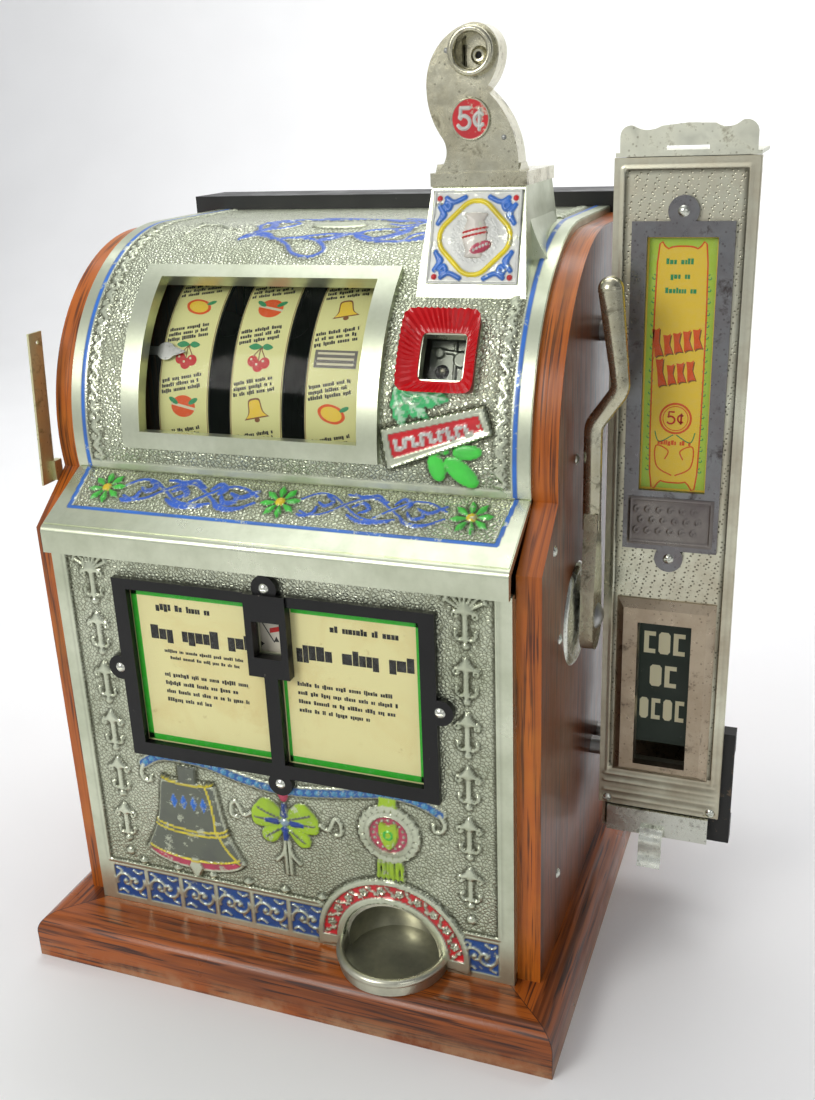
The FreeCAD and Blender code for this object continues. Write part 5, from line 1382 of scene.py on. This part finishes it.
def vendor_relief():
    """The vendor's front, hammered between a beaded rim and the ribs at its foot."""
    sheet = Relief((192.6, 279.4), (100.5, 561.5), 1.0)
    sheet.height[:] = 0.9
    inside = rectangle(198, 274, 132, 556)
    sheet.shape(inside, 0.0, 1.4, None, "set")
    sheet.ground(inside)
    sheet.stroke([(198, 128), (198, 556), (274, 556), (274, 128)], 1.2, 1.4, None)
    for z in (106, 112, 120, 126):
        sheet.stroke([(196, z), (276, z)], 2.6, 1.6, None)
    u, v = sheet.u, sheet.v
    frame_area = (np.abs(u - VENDOR_X) < 31.2) & (v > 308.4) & (v < 524.2)
    ears = ((u - VENDOR_X) ** 2 + (v - 530.5) ** 2 < 81) | ((u - VENDOR_X) ** 2 + (v - 302) ** 2 < 81)
    window_area = (np.abs(u - VENDOR_X) < 33.6) & (v > 131.4) & (v < 269.6)
    screws = (np.abs(u - VENDOR_X) - 38) ** 2 + (v - 104) ** 2 < 18
    sheet.keep[:] = ~(frame_area | ears | window_area | screws)
    sheet.build("vendor_front_relief", facing_front(VENDOR_Y), 0.6, "vendor",
                slot="worn_nickel", base=0.25)


def engraved_plate():
    """The engraved, plain-scrolled part of the card frame under the card."""
    sheet = Relief((207.5, 264.5), (311.5, 345.5), 0.7)
    sheet.height[:] = 0.35
    sheet.stroke(rectangle(209.5, 262.5, 313.5, 343.5), 1.3, 0.8, None, True)
    for row, z in enumerate((336.5, 329, 321.5)):
        for x in np.arange(214 + 3 * (row % 2), 259, 7.6):
            sheet.stroke(spiral((x, z), 2.4, 0.7, 90, 400, 9), 0.9, 0.75)
    sheet.build("engraved_plate", facing_front(CARD_FRAME_Y), 0.4, "plate", slot="steel", base=0.2)


coin_frame()
price_disc()
head_boss()
head_pins()
coin_checks()
award_prints()
reel_prints()
gum_card_print()
flag_print()
vendor_relief()
engraved_plate()


# ---------------------------------------------------------------- the CAD nodes' materials

NODE_LOOKS = {
    "plinth": "base_plinth",
    "side": "left_side_panel right_side_panel",
    "shelf": "mechanism_shelf",
    "door": "back_door",
    "casting_plain": "lower_front_casting step_casting upper_front_casting",
    "cup": "payout_cup",
    "nickel": "coin_head_body coin_entry_bezel handle_arm",
    "nickel_bright": "lever_escutcheon vendor_pull_slide round_head_screws",
    "grey_nickel": "reel_pointer",
    "lid": "vendor_lid",
    "glass": "reel_window_glass coin_window_glass award_card_glass vendor_card_glass",
    "frame_black": "award_card_frame",
    "cap_black": "top_rear_cap",
    "bracket": "vendor_lock_bracket",
    "card_steel": "vendor_card_frame",
    "card": "award_cards",
    "gum_card": "vendor_card",
    "dial": "indicator_dial",
    "reel_paper": "reel_left_strip reel_centre_strip reel_right_strip",
    "dark_steel": "reel_left_drum reel_centre_drum reel_right_drum",
    "steel": "mechanism_base mechanism_side_plates mechanism_crossbars reel_shaft handle_shaft handle_crank "
             "operating_slide handle_return_spring stop_lever_left stop_lever_centre stop_lever_right "
             "vendor_standoffs coin_chute payout_chute cash_box",
    "brass": "coin_tube handle_bushing door_hinge_jamb_leaves door_hinge_leaves door_lock_barrel "
             "door_lock_cam",
    "strip": "left_side_strip",
    "vendor": "vendor_front_casting",
    "vendor_brown": "vendor_case vendor_window_frame",
    "flag": "vendor_flag",
}
for look_name, names in NODE_LOOKS.items():
    for node_name in names.split():
        item = nodes[node_name]
        item.data.materials.clear()
        item.data.materials.append(LOOKS[look_name])
        sharpen(item, 32)
        item.data.polygons.foreach_set("use_smooth", [True] * len(item.data.polygons))


# ---------------------------------------------------------------- stage

def light(name, place, aim, size, power, colour=(1, 1, 1)):
    data = bpy.data.lights.new(name, "AREA")
    data.energy, data.size, data.color = power, size, colour
    item = bpy.data.objects.new(name, data)
    item.location = place
    item.rotation_euler = (Vector(aim) - Vector(place)).to_track_quat("-Z", "Y").to_euler()
    bpy.context.scene.collection.objects.link(item)


def camera():
    """The camera at the viewing angle: turned, tipped down and rolled a little."""
    azimuth, tip, roll = math.radians(20.99), math.radians(20.81), math.radians(-2.28)
    ahead = Vector((-math.sin(azimuth) * math.cos(tip), math.cos(azimuth) * math.cos(tip), -math.sin(tip)))
    right = ahead.cross(Vector((0, 0, 1))).normalized()
    up = right.cross(ahead)
    right, up = right * math.cos(roll) + up * math.sin(roll), up * math.cos(roll) - right * math.sin(roll)
    data = bpy.data.cameras.new("camera")
    data.sensor_width, data.lens = 36, 37.98
    item = bpy.data.objects.new("camera", data)
    axes = Matrix((right, up, -ahead)).transposed().to_4x4()
    item.matrix_world = Matrix.Translation((0.3337, -0.7667, 0.5953)) @ axes
    bpy.context.scene.collection.objects.link(item)
    bpy.context.scene.camera = item


def backdrop():
    """A pale floor that curves up into a wall behind."""
    profile = [(-6.0, 0.0), (1.6, 0.0)]
    profile += [(1.6 + math.sin(turn), 1 - math.cos(turn)) for turn in np.radians(range(6, 91, 6))]
    profile.append((2.6, 6.0))
    points = [(x, y, z) for y, z in profile for x in (-8.0, 8.0)]
    faces = [(2 * row, 2 * row + 1, 2 * row + 3, 2 * row + 2) for row in range(len(profile) - 1)]
    mesh = bpy.data.meshes.new("backdrop")
    mesh.from_pydata(points, [], faces)
    look = Look("backdrop_paint", roughness=0.7)
    shade = look.level(look.noise(3.0, 2.0), 0.3, 0.7, 0.86, 0.9)
    look.set(base_color=look.mix(shade, (0.0, 0.0, 0.0), (1.0, 1.0, 1.0)))
    mesh.materials.append(look.material)
    mesh.polygons.foreach_set("use_smooth", [True] * len(mesh.polygons))
    item = bpy.data.objects.new("backdrop", mesh)
    bpy.context.scene.collection.objects.link(item)


def world():
    """An even room, a little darker to the right."""
    item = bpy.data.worlds.new("studio")
    item.use_nodes = True
    tree = item.node_tree
    background = tree.nodes["Background"]
    split = tree.nodes.new("ShaderNodeSeparateXYZ")
    ramp = tree.nodes.new("ShaderNodeValToRGB")
    tree.links.new(tree.nodes.new("ShaderNodeTexCoord").outputs["Generated"], split.inputs[0])
    tree.links.new(split.outputs["X"], ramp.inputs["Fac"])
    tree.links.new(ramp.outputs["Color"], background.inputs["Color"])
    ramp.color_ramp.elements[0].color = (0.95, 0.97, 1.0, 1)
    ramp.color_ramp.elements[1].position = 0.6
    ramp.color_ramp.elements[1].color = (0.30, 0.31, 0.33, 1)
    background.inputs["Strength"].default_value = 0.55
    bpy.context.scene.world = item


camera()
backdrop()
world()
light("key", (-0.7, -1.6, 1.3), (0.0, 0.0, 0.3), 0.7, 16, (1.0, 0.98, 0.94))
light("fill", (1.3, -1.5, 0.9), (0.05, 0.0, 0.3), 0.9, 2.5)
light("top", (-0.2, 0.1, 1.9), (0.0, 0.0, 0.4), 1.0, 4.2)
light("wall", (0.0, 0.9, 2.2), (0.0, 2.6, 0.8), 2.0, 50)
bpy.context.scene.view_settings.view_transform = "Standard"
